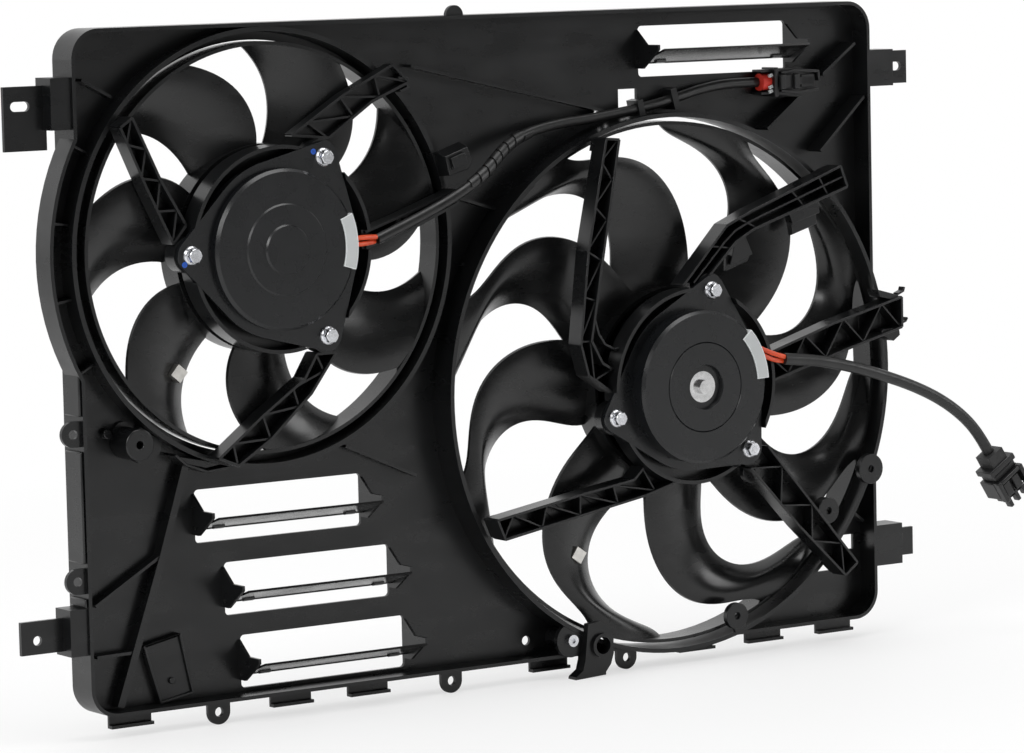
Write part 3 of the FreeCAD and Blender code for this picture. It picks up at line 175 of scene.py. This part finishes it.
def moulded_plastic(name, dark, light, rough=(0.36, 0.5), grain=0.12, specular=0.5):
    """Satin glass-filled nylon: fine spark-eroded grain, faint flow marks, and corners lightened partly by
    rubbing and partly by a painted highlight.
    """
    shader = Shader(name)
    cloud = shader.noise(9, detail=4)
    colour = shader.tint(shader.ramp(cloud, 0, 1), dark, light)
    # Corners lightened as rubbed wear and as a painted highlight along the edges
    colour = shader.rubbed_and_highlit_edges(colour, tuple(2.4 * c for c in light))
    shader.join(colour, shader.surface.inputs["Base Color"])
    flow = shader.noise(26, detail=5, stretch=(1, 1, 2.5))
    shader.join(shader.ramp(flow, *rough), shader.surface.inputs["Roughness"])
    shader.set(Specular_IOR_Level=specular)
    fine, waves = shader.noise(1400, detail=2), shader.noise(55, detail=2)
    shader.bump((fine, grain, 0.00012), (waves, 0.06, 0.0006))
    return shader.material


def coated_steel(name, dark, light, rough=(0.3, 0.42)):
    """Black electrocoat on drawn steel, a little glossier than the plastic."""
    shader = Shader(name)
    cloud = shader.noise(22, detail=4)
    colour = shader.tint(shader.ramp(cloud, 0, 1), dark, light)
    # Corners lightened as rubbed wear and as a painted highlight along the edges
    colour = shader.rubbed_and_highlit_edges(colour, tuple(2 * c for c in light))
    shader.join(colour, shader.surface.inputs["Base Color"])
    shader.join(shader.ramp(shader.noise(60, detail=4), *rough), shader.surface.inputs["Roughness"])
    shader.set(Specular_IOR_Level=0.5)
    shader.bump((shader.noise(900, detail=3), 0.1, 0.0001))
    return shader.material


def bare_metal(name, colour, rough=(0.18, 0.32), turned=False):
    """Bright or plated steel with fine scratches; turned pieces carry rings of tool marks."""
    shader = Shader(name)
    cloud = shader.noise(180, detail=4)
    tone = shader.tint(shader.ramp(cloud, 0, 1), tuple(0.82 * c for c in colour), colour)
    shader.join(tone, shader.surface.inputs["Base Color"])
    stretch = (1, 12, 1) if turned else (6, 1, 1)
    marks = shader.noise(420, detail=5, stretch=stretch)
    shader.join(shader.ramp(marks, *rough), shader.surface.inputs["Roughness"])
    shader.set(Metallic=1.0)
    shader.bump((marks, 0.12, 0.0001))
    return shader.material


def soft_rubber(name, dark, light, rough=(0.5, 0.66)):
    """Rubber or sheath: dull, faintly mottled."""
    shader = Shader(name)
    shader.join(shader.tint(shader.ramp(shader.noise(70, detail=5), 0, 1), dark, light),
                shader.surface.inputs["Base Color"])
    shader.join(shader.ramp(shader.noise(160, detail=3), *rough), shader.surface.inputs["Roughness"])
    shader.bump((shader.noise(900, detail=3), 0.15, 0.0002))
    return shader.material


BLACK = moulded_plastic("black_plastic", (0.003, 0.0032, 0.0035), (0.005, 0.0053, 0.0057),
                        rough=(0.25, 0.36))
FAN_BLACK = moulded_plastic("fan_plastic", (0.0028, 0.003, 0.0031), (0.0048, 0.005, 0.0052),
                            rough=(0.2, 0.32), grain=0.08)
FLAP_BLACK = moulded_plastic("flap_plastic", (0.006, 0.006, 0.006), (0.009, 0.009, 0.009),
                             rough=(0.18, 0.26), grain=0.04)
CONNECTOR_BLACK = moulded_plastic("connector_plastic", (0.006, 0.006, 0.0065), (0.01, 0.01, 0.0105),
                                  rough=(0.28, 0.4), grain=0.05)
MOTOR_BLACK = coated_steel("motor_coating", (0.004, 0.0045, 0.0052), (0.006, 0.0066, 0.0075),
                           rough=(0.24, 0.34))
PALE = moulded_plastic("pale_plastic", (0.5, 0.52, 0.52), (0.62, 0.64, 0.64), rough=(0.4, 0.5),
                       grain=0.06)
ZINC = bare_metal("zinc_steel", (0.78, 0.79, 0.82))
BRIGHT = bare_metal("bright_steel", (0.82, 0.8, 0.76), rough=(0.3, 0.45))
GROUND = bare_metal("ground_steel", (0.68, 0.68, 0.68), rough=(0.14, 0.26), turned=True)
CORE = bare_metal("core_steel", (0.4, 0.4, 0.42), rough=(0.35, 0.5), turned=True)
COPPER = bare_metal("copper", (0.8, 0.42, 0.25), rough=(0.2, 0.34), turned=True)
MAGNET = moulded_plastic("magnet", (0.05, 0.05, 0.055), (0.09, 0.09, 0.095), rough=(0.6, 0.7))
CARBON = moulded_plastic("carbon", (0.02, 0.02, 0.02), (0.035, 0.035, 0.035), rough=(0.45, 0.6))
SHEATH = soft_rubber("cable_sheath", (0.006, 0.006, 0.006), (0.01, 0.01, 0.01), rough=(0.34, 0.46))
RED_WIRE = soft_rubber("red_insulation", (0.62, 0.055, 0.012), (0.8, 0.09, 0.02), rough=(0.3, 0.4))
RED_RUBBER = soft_rubber("red_seal", (0.5, 0.02, 0.01), (0.65, 0.035, 0.02))
BLACK_RUBBER = soft_rubber("black_seal", (0.012, 0.012, 0.012), (0.02, 0.02, 0.02))
BLUE_PAINT = moulded_plastic("blue_paint", (0.01, 0.06, 0.35), (0.015, 0.09, 0.45),
                             rough=(0.35, 0.45), grain=0.05)

# Finish of each node that isn't plain black plastic; those of a fan or motor leave its name out
FINISHES = {
    "relief_flap_1": FLAP_BLACK, "relief_flap_2": FLAP_BLACK, "relief_flap_3": FLAP_BLACK,
    "relief_flap_4": FLAP_BLACK, "hose_clip_screw": ZINC,
    "small_connector_seal": RED_RUBBER, "large_connector_seal": BLACK_RUBBER,
    "motor_can": MOTOR_BLACK, "motor_flange": MOTOR_BLACK, "motor_end_plate": MOTOR_BLACK,
    "motor_bearings": GROUND, "motor_magnets": MAGNET, "armature_core": CORE,
    "armature_winding": COPPER, "commutator": COPPER, "brushes": CARBON, "terminal_block": PALE,
    "motor_screws": ZINC, "fan": FAN_BLACK, "motor_shaft": GROUND, "fan_nut": ZINC,
    "balance_clip": BRIGHT, "motor_wires": RED_WIRE, "motor_cable": SHEATH,
    "connector": CONNECTOR_BLACK}


def finish_of(node):
    """The material of a carried-over node."""
    without_fan = node.removeprefix("small_").removeprefix("large_")
    return FINISHES.get(node) or FINISHES.get(without_fan, BLACK)


for node, thing in NODES.items():
    thing.data.materials.clear()
    thing.data.materials.append(finish_of(node))


# --------------------------------------------------------------------------
# Cables
# --------------------------------------------------------------------------
SMALL_CABLE_DIAMETER = 7.2
LARGE_CABLE_DIAMETER = 8.4
SMALL_ROUTE = [(-111, 78.5, 44.2), (-84, 88.5, 44.2), (-57, 99.5, 44.4), (-34, 110.5, 44.2),
               (-15, 121.5, 38.5), (3, 133, 29), (24, 142.5, 21.2), (53, 148.5, 20), (85, 151, 19.5),
               (112, 154.2, 18.5), (136, 157.5, 17.5), (160, 162, 15.5), (186, 168, 13.5),
               (212, 171, 13), (236, 170.5, 13)]
LARGE_ROUTE = [(217, -25, 64), (241, -27, 64), (271, -33, 64), (303, -42, 64), (335, -53, 64),
               (361, -65, 64), (382, -79, 64), (397, -94, 64), (406, -108, 64)]


def cable(name, route, diameter):
    """A round cable along a smooth line that its route steers."""
    data = bpy.data.curves.new(name, "CURVE")
    data.dimensions = "3D"
    data.bevel_depth = diameter / 2000
    data.bevel_resolution = 8
    data.resolution_u = 16
    data.use_fill_caps = True
    line = data.splines.new("NURBS")
    line.points.add(len(route) - 1)
    for point, place in zip(line.points, route):
        point.co = (*spot(*place), 1)
    line.order_u = 3
    line.use_endpoint_u = True
    piece = bpy.data.objects.new(name, data)
    bpy.context.scene.collection.objects.link(piece)
    data.materials.append(SHEATH)
    return piece


small_cable = cable("small_cable_sheath", SMALL_ROUTE, SMALL_CABLE_DIAMETER)
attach(small_cable, "shroud")
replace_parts(small_cable, "small_motor_cable")

large_cable = cable("large_cable_sheath", LARGE_ROUTE, LARGE_CABLE_DIAMETER)
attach(large_cable, "shroud")
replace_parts(large_cable, "large_motor_cable")


# --------------------------------------------------------------------------
# Moulded details
# --------------------------------------------------------------------------
def circle(centre, radius, sides=36):
    """Outline of a disc seen from the front."""
    steps = [2 * math.pi * k / sides for k in range(sides)]
    return [(centre[0] + radius * math.cos(a), centre[1] + radius * math.sin(a)) for a in steps]


def strip(a, b, width):
    """Outline of a straight bar from a to b."""
    run = Vector((b[0] - a[0], b[1] - a[1])).normalized() * (width / 2)
    return [(a[0] - run.y, a[1] + run.x), (a[0] + run.y, a[1] - run.x),
            (b[0] + run.y, b[1] - run.x), (b[0] - run.y, b[1] + run.x)]


def rectangle(centre, width, height, angle=0):
    """Outline of a box turned by an angle in degrees."""
    turn = Matrix.Rotation(math.radians(angle), 2)
    corners = [(-1, -1), (1, -1), (1, 1), (-1, 1)]
    turned = [turn @ Vector((x * width / 2, z * height / 2)) for x, z in corners]
    return [(centre[0] + v.x, centre[1] + v.y) for v in turned]


def piece_from(mesh, name, material):
    """A smooth piece with sharp corners, from a bmesh that it uses up."""
    bmesh.ops.recalc_face_normals(mesh, faces=mesh.faces)
    data = bpy.data.meshes.new(name)
    mesh.to_mesh(data)
    mesh.free()
    data.materials.append(material)
    data.shade_smooth()
    data.set_sharp_from_angle(angle=SHARP)
    piece = bpy.data.objects.new(name, data)
    bpy.context.scene.collection.objects.link(piece)
    return piece


class Moulding:
    """One piece on the shroud, made of straight extrusions that run forward from the panel."""

    def __init__(self, name, material=BLACK, slot="black_plastic"):
        self.name, self.material, self.slot = name, material, slot
        self.mesh = bmesh.new()

    def loop(self, outline, height):
        """Corners of an outline at a height."""
        return [self.mesh.verts.new(spot(x, z, height)) for x, z in outline]

    def prism(self, outline, low, high, top=None):
        """Extrudes an outline; another outline for the top gives it a draft or a slant."""
        bottom = self.loop(outline, low)
        upper = self.loop(top or outline, high)
        self.mesh.faces.new(bottom)
        self.mesh.faces.new(upper)
        self.sides(bottom, upper)

    def tube(self, centre, outer, inner, low, high, sides=36):
        """A ring with a hole through it."""
        loops = [self.loop(circle(centre, radius, sides), height)
                 for radius, height in ((outer, low), (outer, high), (inner, high), (inner, low))]
        for first, second in zip(loops, loops[1:] + loops[:1]):
            self.sides(first, second)

    def sides(self, first, second):
        """Faces between two loops of as many corners."""
        for k in range(len(first)):
            nxt = (k + 1) % len(first)
            self.mesh.faces.new((first[k], first[nxt], second[nxt], second[k]))

    def finish(self, edge=0.4):
        """Turns the gathered shapes into a piece with rounded edges, edge millimetres wide."""
        piece = piece_from(self.mesh, self.name, self.material)
        if edge:
            bevel = piece.modifiers.new("edges", "BEVEL")
            bevel.width = edge / 1000
            bevel.segments = 2
            bevel.limit_method = "ANGLE"
            bevel.angle_limit = SHARP
        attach(piece, "shroud")
        return piece


# Lugs beside the large fan's ring and its arms: centre, radius, from, to, and the web's far end
LUGS = {
    "lug_right": ((316, -114.8), 11, ON_LARGE_LIP, 38, (323, -118)),
    "lug_lower_right": ((276, -142), 9.5, 30, 38, (268, -150)),
    "lug_bottom": ((191.5, -210.5), 9.5, ON_LARGE_LIP, 38, (196, -221)),
    "lug_carrier": ((203, -106.5), 8, 38, 43, (209, -97))}
SCREW_HOLE = 2.6


def screw_lugs():
    """Round lugs, each with a screw hole and a web that ties it to its neighbour."""
    for name, (centre, radius, low, high, foot) in LUGS.items():
        lug = Moulding(name)
        lug.tube(centre, radius, SCREW_HOLE, low, high)
        lug.prism(strip(centre, foot, radius * 1.1), low, high - 2)
        lug.finish()


LINE_WALL = 1.8


def walls(piece, points, width, low, high):
    """Adds a thin wall that follows a line of points."""
    for a, b in zip(points, points[1:]):
        piece.prism(strip(a, b, width), low, high)
    for point in points[1:-1]:
        piece.prism(circle(point, width / 2, 12), low, high)


def small_fan_arm_ends():
    """Guide block and curls where the small fan's arms meet its ring."""
    block = Moulding("cable_guide_block")
    block.prism([(-51, 134), (-31, 140.5), (-26, 128), (-30, 121), (-48, 117)], ON_SMALL_LIP, 38,
                top=[(-50, 131), (-32, 137), (-28, 127), (-31, 122), (-47, 118)])
    block.prism(rectangle((-40, 128), 12, 8, 18), 38, 40.5)
    block.prism(circle((-44, 123), 1.3, 12), 38, 39.2)
    block.finish()
    curl = Moulding("arm_end_curl")
    walls(curl, [(-84, 186), (-77, 185.5), (-76.5, 179), (-82.5, 177)], LINE_WALL,
          ON_SMALL_LIP, 34.5)
    curl.finish()
    bracket = Moulding("arm_end_bracket")
    walls(bracket, [(-260, -57), (-252, -64), (-236, -70), (-219, -68.5), (-217.5, -63.5)], LINE_WALL,
          PANEL_TOP, 24)
    bracket.prism([(-258, -58), (-251, -64), (-236, -68), (-222, -66)], 20, 22)
    bracket.finish()


# Arms of the large fan: upper and lower wall from the ring inwards, and the number of bays
LARGE_ARMS = [
    ([(75, 138), (58, 61), (50, -4), (56, -26), (82, -43)],
     [(86, 137), (71, 60), (59, -2), (68, -18), (90, -31)], 12),
    ([(336, 11), (273, -4), (208, -23)],
     [(336, -11), (279, -25), (210, -43)], 7),
    ([(291, -180), (254, -137), (212, -89)],
     [(280, -188), (239, -149), (196, -103)], 6),
    ([(-23, -120), (51, -108), (93, -102), (112, -84)],
     [(-17, -134), (60, -121), (102, -114), (132, -106)], 9)]
LADDER_ARM = ([(281, 109), (200, 81), (178, 72), (139, 32)], [(287, 94), (202, 68), (186, 60), (158, 34)])
LADDER_RUNGS = (0.12, 0.28, 0.59, 0.78)
# Wall that runs down beside the carrier from the uppermost arm
ARM_SPUR = [(63, 12), (66, 2), (71, -5), (79, -9), (88, -9)]
ARM_LOW, ARM_HIGH = 37, 52
ARM_FLOOR, ARM_RIB = 2, 1.3
ARM_STEPS = 12
FOOT_LENGTH = 9
CARRIER_RADIUS = 69.6


def large_fan_arm_ends():
    """Blocks under the upper right arm, and the hooked end of the right arm."""
    outer = Moulding("arm_block_outer")
    outer.prism([(238, 79.5), (264.5, 87.5), (266.5, 76), (242, 69.5)], ARM_LOW, 45)
    outer.prism([(242, 70), (266.5, 76.5), (267, 66.5), (244, 60)], ARM_LOW, 42,
                top=[(243, 70), (265.5, 76), (266, 68), (244, 61.5)])
    outer.finish()
    inner = Moulding("arm_block_inner")
    inner.prism([(192, 62), (199.7, 65), (207, 49.5), (187, 43)], ARM_LOW, 43)
    inner.prism([(185.5, 50), (207.4, 50), (204.6, 44.5), (185, 38.5)], ARM_LOW, 40)
    inner.finish()
    hooks = Moulding("arm_end_hooks")
    walls(hooks, [(334, 13), (339, 15), (340, 18)], 1.6, 44, 50)
    walls(hooks, [(335, -9), (341, -7), (342.5, -4.5)], 1.6, 44, 50)
    hooks.prism([(315, 17.5), (334, 12.5), (333, 8), (317, 12)], ARM_LOW, 50)
    hooks.prism([(318.5, -16), (330, -21), (336, -17), (335, -11), (320, -12)], ARM_LOW, 49)
    hooks.finish()


def along(points, share):
    """Point at a share of the length of a line of points."""
    runs = [math.dist(a, b) for a, b in zip(points, points[1:])]
    left = share * sum(runs)
    for a, b, run in zip(points, points[1:], runs):
        if left <= run:
            return (a[0] + (b[0] - a[0]) * left / run, a[1] + (b[1] - a[1]) * left / run)
        left -= run
    return points[-1]


def up_to_carrier(points):
    """The part of a line that lies outside the motor's carrier."""
    count = 240
    samples = [along(points, k / count) for k in range(count + 1)]
    outside = [k for k, point in enumerate(samples) if math.dist(point, LARGE) >= CARRIER_RADIUS]
    end = samples[outside[-1]]
    kept = [point for point in points if math.dist(point, LARGE) > CARRIER_RADIUS + 1]
    return kept + [end]


def arm_shell(piece, upper, lower):
    """Floor, end wall, side walls and foot that every arm has."""
    for k in range(ARM_STEPS):
        a, b = k / ARM_STEPS, (k + 1) / ARM_STEPS
        piece.prism([along(upper, a), along(upper, b), along(lower, b), along(lower, a)],
                    ARM_LOW, ARM_LOW + ARM_FLOOR)
    for line in (upper, lower, [upper[0], lower[0]]):
        walls(piece, line, LINE_WALL, ARM_LOW, ARM_HIGH)
    foot = FOOT_LENGTH / math.dist(upper[0], upper[1])
    inner = [tuple(Vector(line[0]).lerp(Vector(line[1]), foot)) for line in (upper, lower)]
    piece.prism([upper[0], inner[0], inner[1], lower[0]], LARGE_LIP_TOP, ARM_LOW)


def large_arms():
    """The large fan's arms: four with zigzag ribs, one with a middle wall and rungs."""
    piece = Moulding("large_arms")
    for upper, lower, bays in LARGE_ARMS:
        upper, lower = up_to_carrier(upper), up_to_carrier(lower)
        arm_shell(piece, upper, lower)
        for k in range(bays):
            first, second = (upper, lower) if k % 2 else (lower, upper)
            rib = strip(along(first, k / bays), along(second, (k + 1) / bays), ARM_RIB)
            piece.prism(rib, ARM_LOW, ARM_HIGH - 2)
    upper, lower = (up_to_carrier(line) for line in LADDER_ARM)
    arm_shell(piece, upper, lower)
    middle = [tuple((Vector(along(upper, k / ARM_STEPS)) + Vector(along(lower, k / ARM_STEPS))) / 2)
              for k in range(ARM_STEPS + 1)]
    walls(piece, middle, 1.4, ARM_LOW, ARM_HIGH - 1)
    for share in LADDER_RUNGS:
        piece.prism(strip(along(upper, share), along(lower, share), ARM_RIB), ARM_LOW, ARM_HIGH - 2)
    walls(piece, ARM_SPUR, 1.6, ARM_LOW, ARM_HIGH - 1)
    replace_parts(piece.finish(0.3), "large_carrier_arms")


EAR_CIRCLE = 69
# Discs of a flanged screw: lower and upper radius, from and to above its seat, and the sides
SCREW_DISCS = [(6.4, 6, 0, 0.8, 36), (6, 5.2, 0.8, 1.6, 36), (5, 5, 1.6, 5.4, 6), (4.6, 4.2, 5.4, 5.9, 24)]
STAR_RADII = (1.9, 2.6)


def flange_screws(name, centre, first_ear, seat):
    """Three flanged hex screws with a raised star, on the ears of a motor's flange."""
    screws = Moulding(name + "_flange_screws", ZINC, slot="zinc_steel")
    for k in range(3):
        angle = math.radians(first_ear + 120 * k)
        middle = (centre[0] + EAR_CIRCLE * math.cos(angle), centre[1] + EAR_CIRCLE * math.sin(angle))
        for lower, upper, low, high, sides in SCREW_DISCS:
            screws.prism(circle(middle, lower, sides), seat + low, seat + high,
                         top=circle(middle, upper, sides))
        star = [(middle[0] + STAR_RADII[j % 2] * math.cos(j * math.pi / 6),
                 middle[1] + STAR_RADII[j % 2] * math.sin(j * math.pi / 6)) for j in range(12)]
        screws.prism(star, seat + 5.9, seat + 6.1)
    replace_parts(screws.finish(0.25), name + "_motor_screws")


SMALL_BORE = 144.5
REAR_LIP_BORE = 138.7
PANEL_BOTTOM = 6.5


def small_ring_rear_lip():
    """Inward lip beside the small fan's band, which closes the gap at the ring's root."""
    lip = Moulding("small_ring_rear_lip")
    lip.tube(SMALL, SMALL_BORE, REAR_LIP_BORE, PANEL_BOTTOM, PANEL_TOP, sides=128)
    lip.finish()


PAINT_SPOTS = [(-160, 140), (-261.2, 70.4)]


def paint_marks():
    """Blue paint that marks the tightened screws of the small motor."""
    marks = Moulding("paint_marks", BLUE_PAINT, slot="coated_steel")
    for spot_centre in PAINT_SPOTS:
        marks.prism(circle(spot_centre, 1.9, 18), SMALL_FLANGE_TOP, SMALL_FLANGE_TOP + 0.4)
    marks.finish(0)


# Blocks of the large plug: along the cable past its end, across it, and about its middle height
PLUG_BLOCKS = [
    (9, 14, -13, 13, -9, 9), (14, 19, -11, 11, -8, 8), (19, 34, -13.5, 13.5, -10, 6),
    (19, 36, -13.5, -10, 6, 12), (19, 36, 10, 13.5, 6, 12), (19, 22, -10, 10, 6, 12),
    (23.5, 35, -8.4, -1.6, 6, 9), (23.5, 35, 1.6, 8.4, 6, 9), (36, 40, -9, 9, -7, 3),
    (34, 43.5, -9.6, -6.4, 2, 8), (34, 43.5, -1.6, 1.6, 2, 8), (34, 43.5, 6.4, 9.6, 2, 8)]


def large_plug():
    """Plug of the large motor's cable: winged collar, rounded shell with two keyways, and lock tongues."""
    end, before = LARGE_ROUTE[-1], LARGE_ROUTE[-2]
    turn = math.atan2(end[1] - before[1], end[0] - before[0])
    middle = end[2]

    def at(run, side):
        return (end[0] + run * math.cos(turn) - side * math.sin(turn),
                end[1] + run * math.sin(turn) + side * math.cos(turn))

    plug = Moulding("large_plug", CONNECTOR_BLACK)
    for near, far, left, right, low, high in PLUG_BLOCKS:
        plug.prism([at(near, left), at(far, left), at(far, right), at(near, right)],
                   middle + low, middle + high)
    piece = plug.finish(0.8)
    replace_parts(piece, "large_connector")
    return piece


def panel_details():
    """Tall boss, the pocket's rim, and ribs in the channel beside the small fan."""
    boss = Moulding("tall_boss")
    boss.tube((-290.5, -47.2), 10.6, SCREW_HOLE, PANEL_TOP, 31)
    boss.prism(circle((-305, -40), 3.4, 20), PANEL_TOP, 14)
    boss.finish(0.8)
    pocket = Moulding("pocket_rim")
    corners = [(-283, -184), (-255.5, -178.5), (-247, -218.5), (-271.5, -223)]
    walls(pocket, corners + corners[:2], 1.6, PANEL_TOP, 15)
    pocket.prism(circle((-262.5, -209), 2.2, 16), 13, 15)
    pocket.finish()
    channel = Moulding("channel_ribs")
    for turn in (152, 171, 190, 208):
        way = Vector((math.cos(math.radians(turn)), math.sin(math.radians(turn))))
        inner, outer = [(SMALL[0] + way.x * r, SMALL[1] + way.y * r) for r in (147.2, 161.2)]
        channel.prism(strip(inner, outer, LINE_WALL), PANEL_TOP, 19)
    channel.finish()


RIM_LEFT = -330
PAD_THICK = 2
PAD_SPANS = ((-26, 4), (-123, -49), (-152, -146))


def rim_pads():
    """Thicker stretches of the rim's left wall, between the ears."""
    pads = Moulding("rim_pads")
    outside = RIM_LEFT - PAD_THICK
    for low, high in PAD_SPANS:
        pads.prism([(outside, low), (outside, high), (RIM_LEFT, high), (RIM_LEFT, low)], 3, 25)
    pads.finish(1.2)


SMALL_PLUG_Z = 170.5


def small_plug_details():
    """Latch, collar and locks of the plug on the small motor's cable."""
    latch = Moulding("small_plug_latch", CONNECTOR_BLACK)
    for x in (249.5, 262):
        latch.prism(rectangle((x, SMALL_PLUG_Z), 5, 12), 25, 27.5, top=rectangle((x, SMALL_PLUG_Z), 4, 10))
    walls(latch, [(250, 177), (266, 178.5), (284, 177), (285, 170)], 2, 20, 24)
    walls(latch, [(250, 164), (266, 162.5), (284, 164)], 2, 20, 24)
    latch.prism(rectangle((275, SMALL_PLUG_Z), 12, 9), 20, 23)
    latch.finish()
    collar = Moulding("small_plug_collar", CONNECTOR_BLACK)
    collar.prism(rectangle((245, SMALL_PLUG_Z), 3, 21), PANEL_TOP, 25)
    collar.prism(rectangle((238.5, 178.6), 9, 2), 10, 21)
    collar.prism(rectangle((238.5, 162.6), 9, 2), 10, 21)
    collar.finish()
    locks = Moulding("small_plug_lock", PALE, slot="pale_plastic")
    for z in (175.3, 167, 163.8):
        locks.prism(rectangle((242, z), 3, 2.2, 20), 20.5, 22.6)
    locks.finish(0.2)


screw_lugs()
small_fan_arm_ends()
large_fan_arm_ends()
large_arms()
flange_screws("small", SMALL, 60, SMALL_FLANGE_TOP)
flange_screws("large", LARGE, 75, LARGE_FLANGE_TOP)
small_ring_rear_lip()
paint_marks()
panel_details()
rim_pads()
small_plug_details()


# --------------------------------------------------------------------------
# Wrap and plug of the cables
# --------------------------------------------------------------------------
def on_route(route, share):
    """Place and direction on the smooth line through a route, share of the way along its points."""
    points = [spot(*place) for place in route]
    last = len(points) - 3
    k = min(int(share * (last + 1)), last)
    t = share * (last + 1) - k
    middle = points[k + 1]
    start = points[0] if k == 0 else (points[k] + middle) / 2
    end = points[-1] if k == last else (middle + points[k + 2]) / 2
    place = (1 - t) ** 2 * start + 2 * t * (1 - t) * middle + t * t * end
    return place, ((1 - t) * (middle - start) + t * (end - middle)).normalized()


def cable_wrap(start, end, turns, radius, width, thick):
    """Flat band wound round the small motor's cable; shares of its points, and sizes in metres."""
    mesh = bmesh.new()
    per_turn = 24
    steps, bands = turns * per_turn, []
    section = ((-1, radius), (1, radius), (1, radius + thick), (-1, radius + thick))
    for k in range(steps + 1):
        place, way = on_route(SMALL_ROUTE, start + (end - start) * k / steps)
        side = way.cross(Vector((0, 0, 1))).normalized()
        angle = 2 * math.pi * k / per_turn
        out = math.cos(angle) * side + math.sin(angle) * side.cross(way)
        bands.append([mesh.verts.new(place + forward * way * width / 2 + out * reach)
                      for forward, reach in section])
    for first, second in zip(bands, bands[1:]):
        for a in range(4):
            b = (a + 1) % 4
            mesh.faces.new((first[a], first[b], second[b], second[a]))
    mesh.faces.new(bands[0])
    mesh.faces.new(bands[-1])
    piece = piece_from(mesh, "cable_wrap", SHEATH)
    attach(piece, "shroud")


cable_wrap(start=0.2, end=0.43, turns=7, radius=0.0036, width=0.008, thick=0.0009)
large_plug()


# --------------------------------------------------------------------------
# Studio
# --------------------------------------------------------------------------
def studio_world():
    """White behind, darker in front, and plain white to the camera."""
    world = bpy.data.worlds.new("studio")
    bpy.context.scene.world = world
    world.use_nodes = True
    tree = world.node_tree
    background = tree.nodes["Background"]
    background.inputs["Color"].default_value = (1, 1, 1, 1)
    place = tree.nodes.new("ShaderNodeTexCoord")
    split = tree.nodes.new("ShaderNodeSeparateXYZ")
    tree.links.new(place.outputs["Generated"], split.inputs["Vector"])
    depth = map_range(tree, split.outputs["Y"], -0.7, 0.6, 0.1, 1.0)
    rays = tree.nodes.new("ShaderNodeLightPath")
    shown = tree.nodes.new("ShaderNodeMath")
    shown.operation = "MAXIMUM"
    tree.links.new(rays.outputs["Is Camera Ray"], shown.inputs[0])
    tree.links.new(rays.outputs["Is Transmission Ray"], shown.inputs[1])
    level = tree.nodes.new("ShaderNodeMix")
    tree.links.new(shown.outputs["Value"], level.inputs[0])
    tree.links.new(depth, level.inputs[2])
    level.inputs[3].default_value = 1.0
    tree.links.new(level.outputs[0], background.inputs["Strength"])


def studio_floor(height):
    """A white floor that keeps the object's soft shadow, and glows white further off."""
    bpy.ops.mesh.primitive_plane_add(size=30, location=(0, 0, height))
    floor = bpy.context.object
    floor.name = "floor"
    material = bpy.data.materials.new("white_floor")
    material.use_nodes = True
    tree = material.node_tree
    surface = tree.nodes["Principled BSDF"]
    surface.inputs["Base Color"].default_value = (0.9, 0.9, 0.9, 1)
    surface.inputs["Roughness"].default_value = 0.6
    glow = tree.nodes.new("ShaderNodeEmission")
    glow.inputs["Color"].default_value = (1, 1, 1, 1)
    rays = tree.nodes.new("ShaderNodeLightPath")
    place = tree.nodes.new("ShaderNodeTexCoord")
    reach = tree.nodes.new("ShaderNodeVectorMath")
    reach.operation = "LENGTH"
    tree.links.new(place.outputs["Object"], reach.inputs[0])
    fade = map_range(tree, reach.outputs["Value"], 0.35, 1.3, 0.6, 1.0)
    share = tree.nodes.new("ShaderNodeMath")
    share.operation = "MULTIPLY"
    tree.links.new(rays.outputs["Is Camera Ray"], share.inputs[0])
    tree.links.new(fade, share.inputs[1])
    mix = tree.nodes.new("ShaderNodeMixShader")
    tree.links.new(share.outputs["Value"], mix.inputs["Fac"])
    tree.links.new(surface.outputs["BSDF"], mix.inputs[1])
    tree.links.new(glow.outputs["Emission"], mix.inputs[2])
    tree.links.new(mix.outputs["Shader"], tree.nodes["Material Output"].inputs["Surface"])
    floor.data.materials.append(material)


# Softboxes: place, side and power
LAMPS = {
    "key": ((-2.6, -1.0, 1.6), 1.4, 42),
    "top": ((0.3, -0.4, 2.6), 1.8, 34),
    "right": ((2.5, -1.6, 0.9), 1.2, 16)}


def soft_lamp(name, place, size, energy):
    """A square softbox that points at the part's middle."""
    data = bpy.data.lights.new(name, "AREA")
    data.size = size
    data.energy = energy
    lamp = bpy.data.objects.new(name, data)
    bpy.context.scene.collection.objects.link(lamp)
    lamp.location = place
    lamp.rotation_euler = (-Vector(place)).to_track_quat("-Z", "Y").to_euler()


def camera_at_photo_angle():
    """A long lens from the left and a little above, with a slight roll."""
    turn = math.radians(34.08)
    rise = math.radians(5.71)
    roll = math.radians(-1.31)
    distance = 3.133
    target = Vector((0.0086, -0.026, -0.0246))
    right = Vector((math.cos(turn), -math.sin(turn), 0))
    back = Vector((-math.sin(turn) * math.cos(rise), -math.cos(turn) * math.cos(rise), math.sin(rise)))
    up = back.cross(right)
    across = right * math.cos(roll) + up * math.sin(roll)
    over = up * math.cos(roll) - right * math.sin(roll)
    data = bpy.data.cameras.new("photo_camera")
    data.sensor_width = 36
    data.lens = 158.7
    camera = bpy.data.objects.new("photo_camera", data)
    bpy.context.scene.collection.objects.link(camera)
    place = Matrix((across, over, back)).transposed().to_4x4()
    place.translation = target + back * distance
    camera.matrix_world = place
    bpy.context.scene.camera = camera


studio_world()
studio_floor(CAD_BOX[0][2])
for lamp_name, lamp in LAMPS.items():
    soft_lamp(lamp_name, *lamp)
camera_at_photo_angle()
bpy.context.scene.view_settings.view_transform = "Standard"
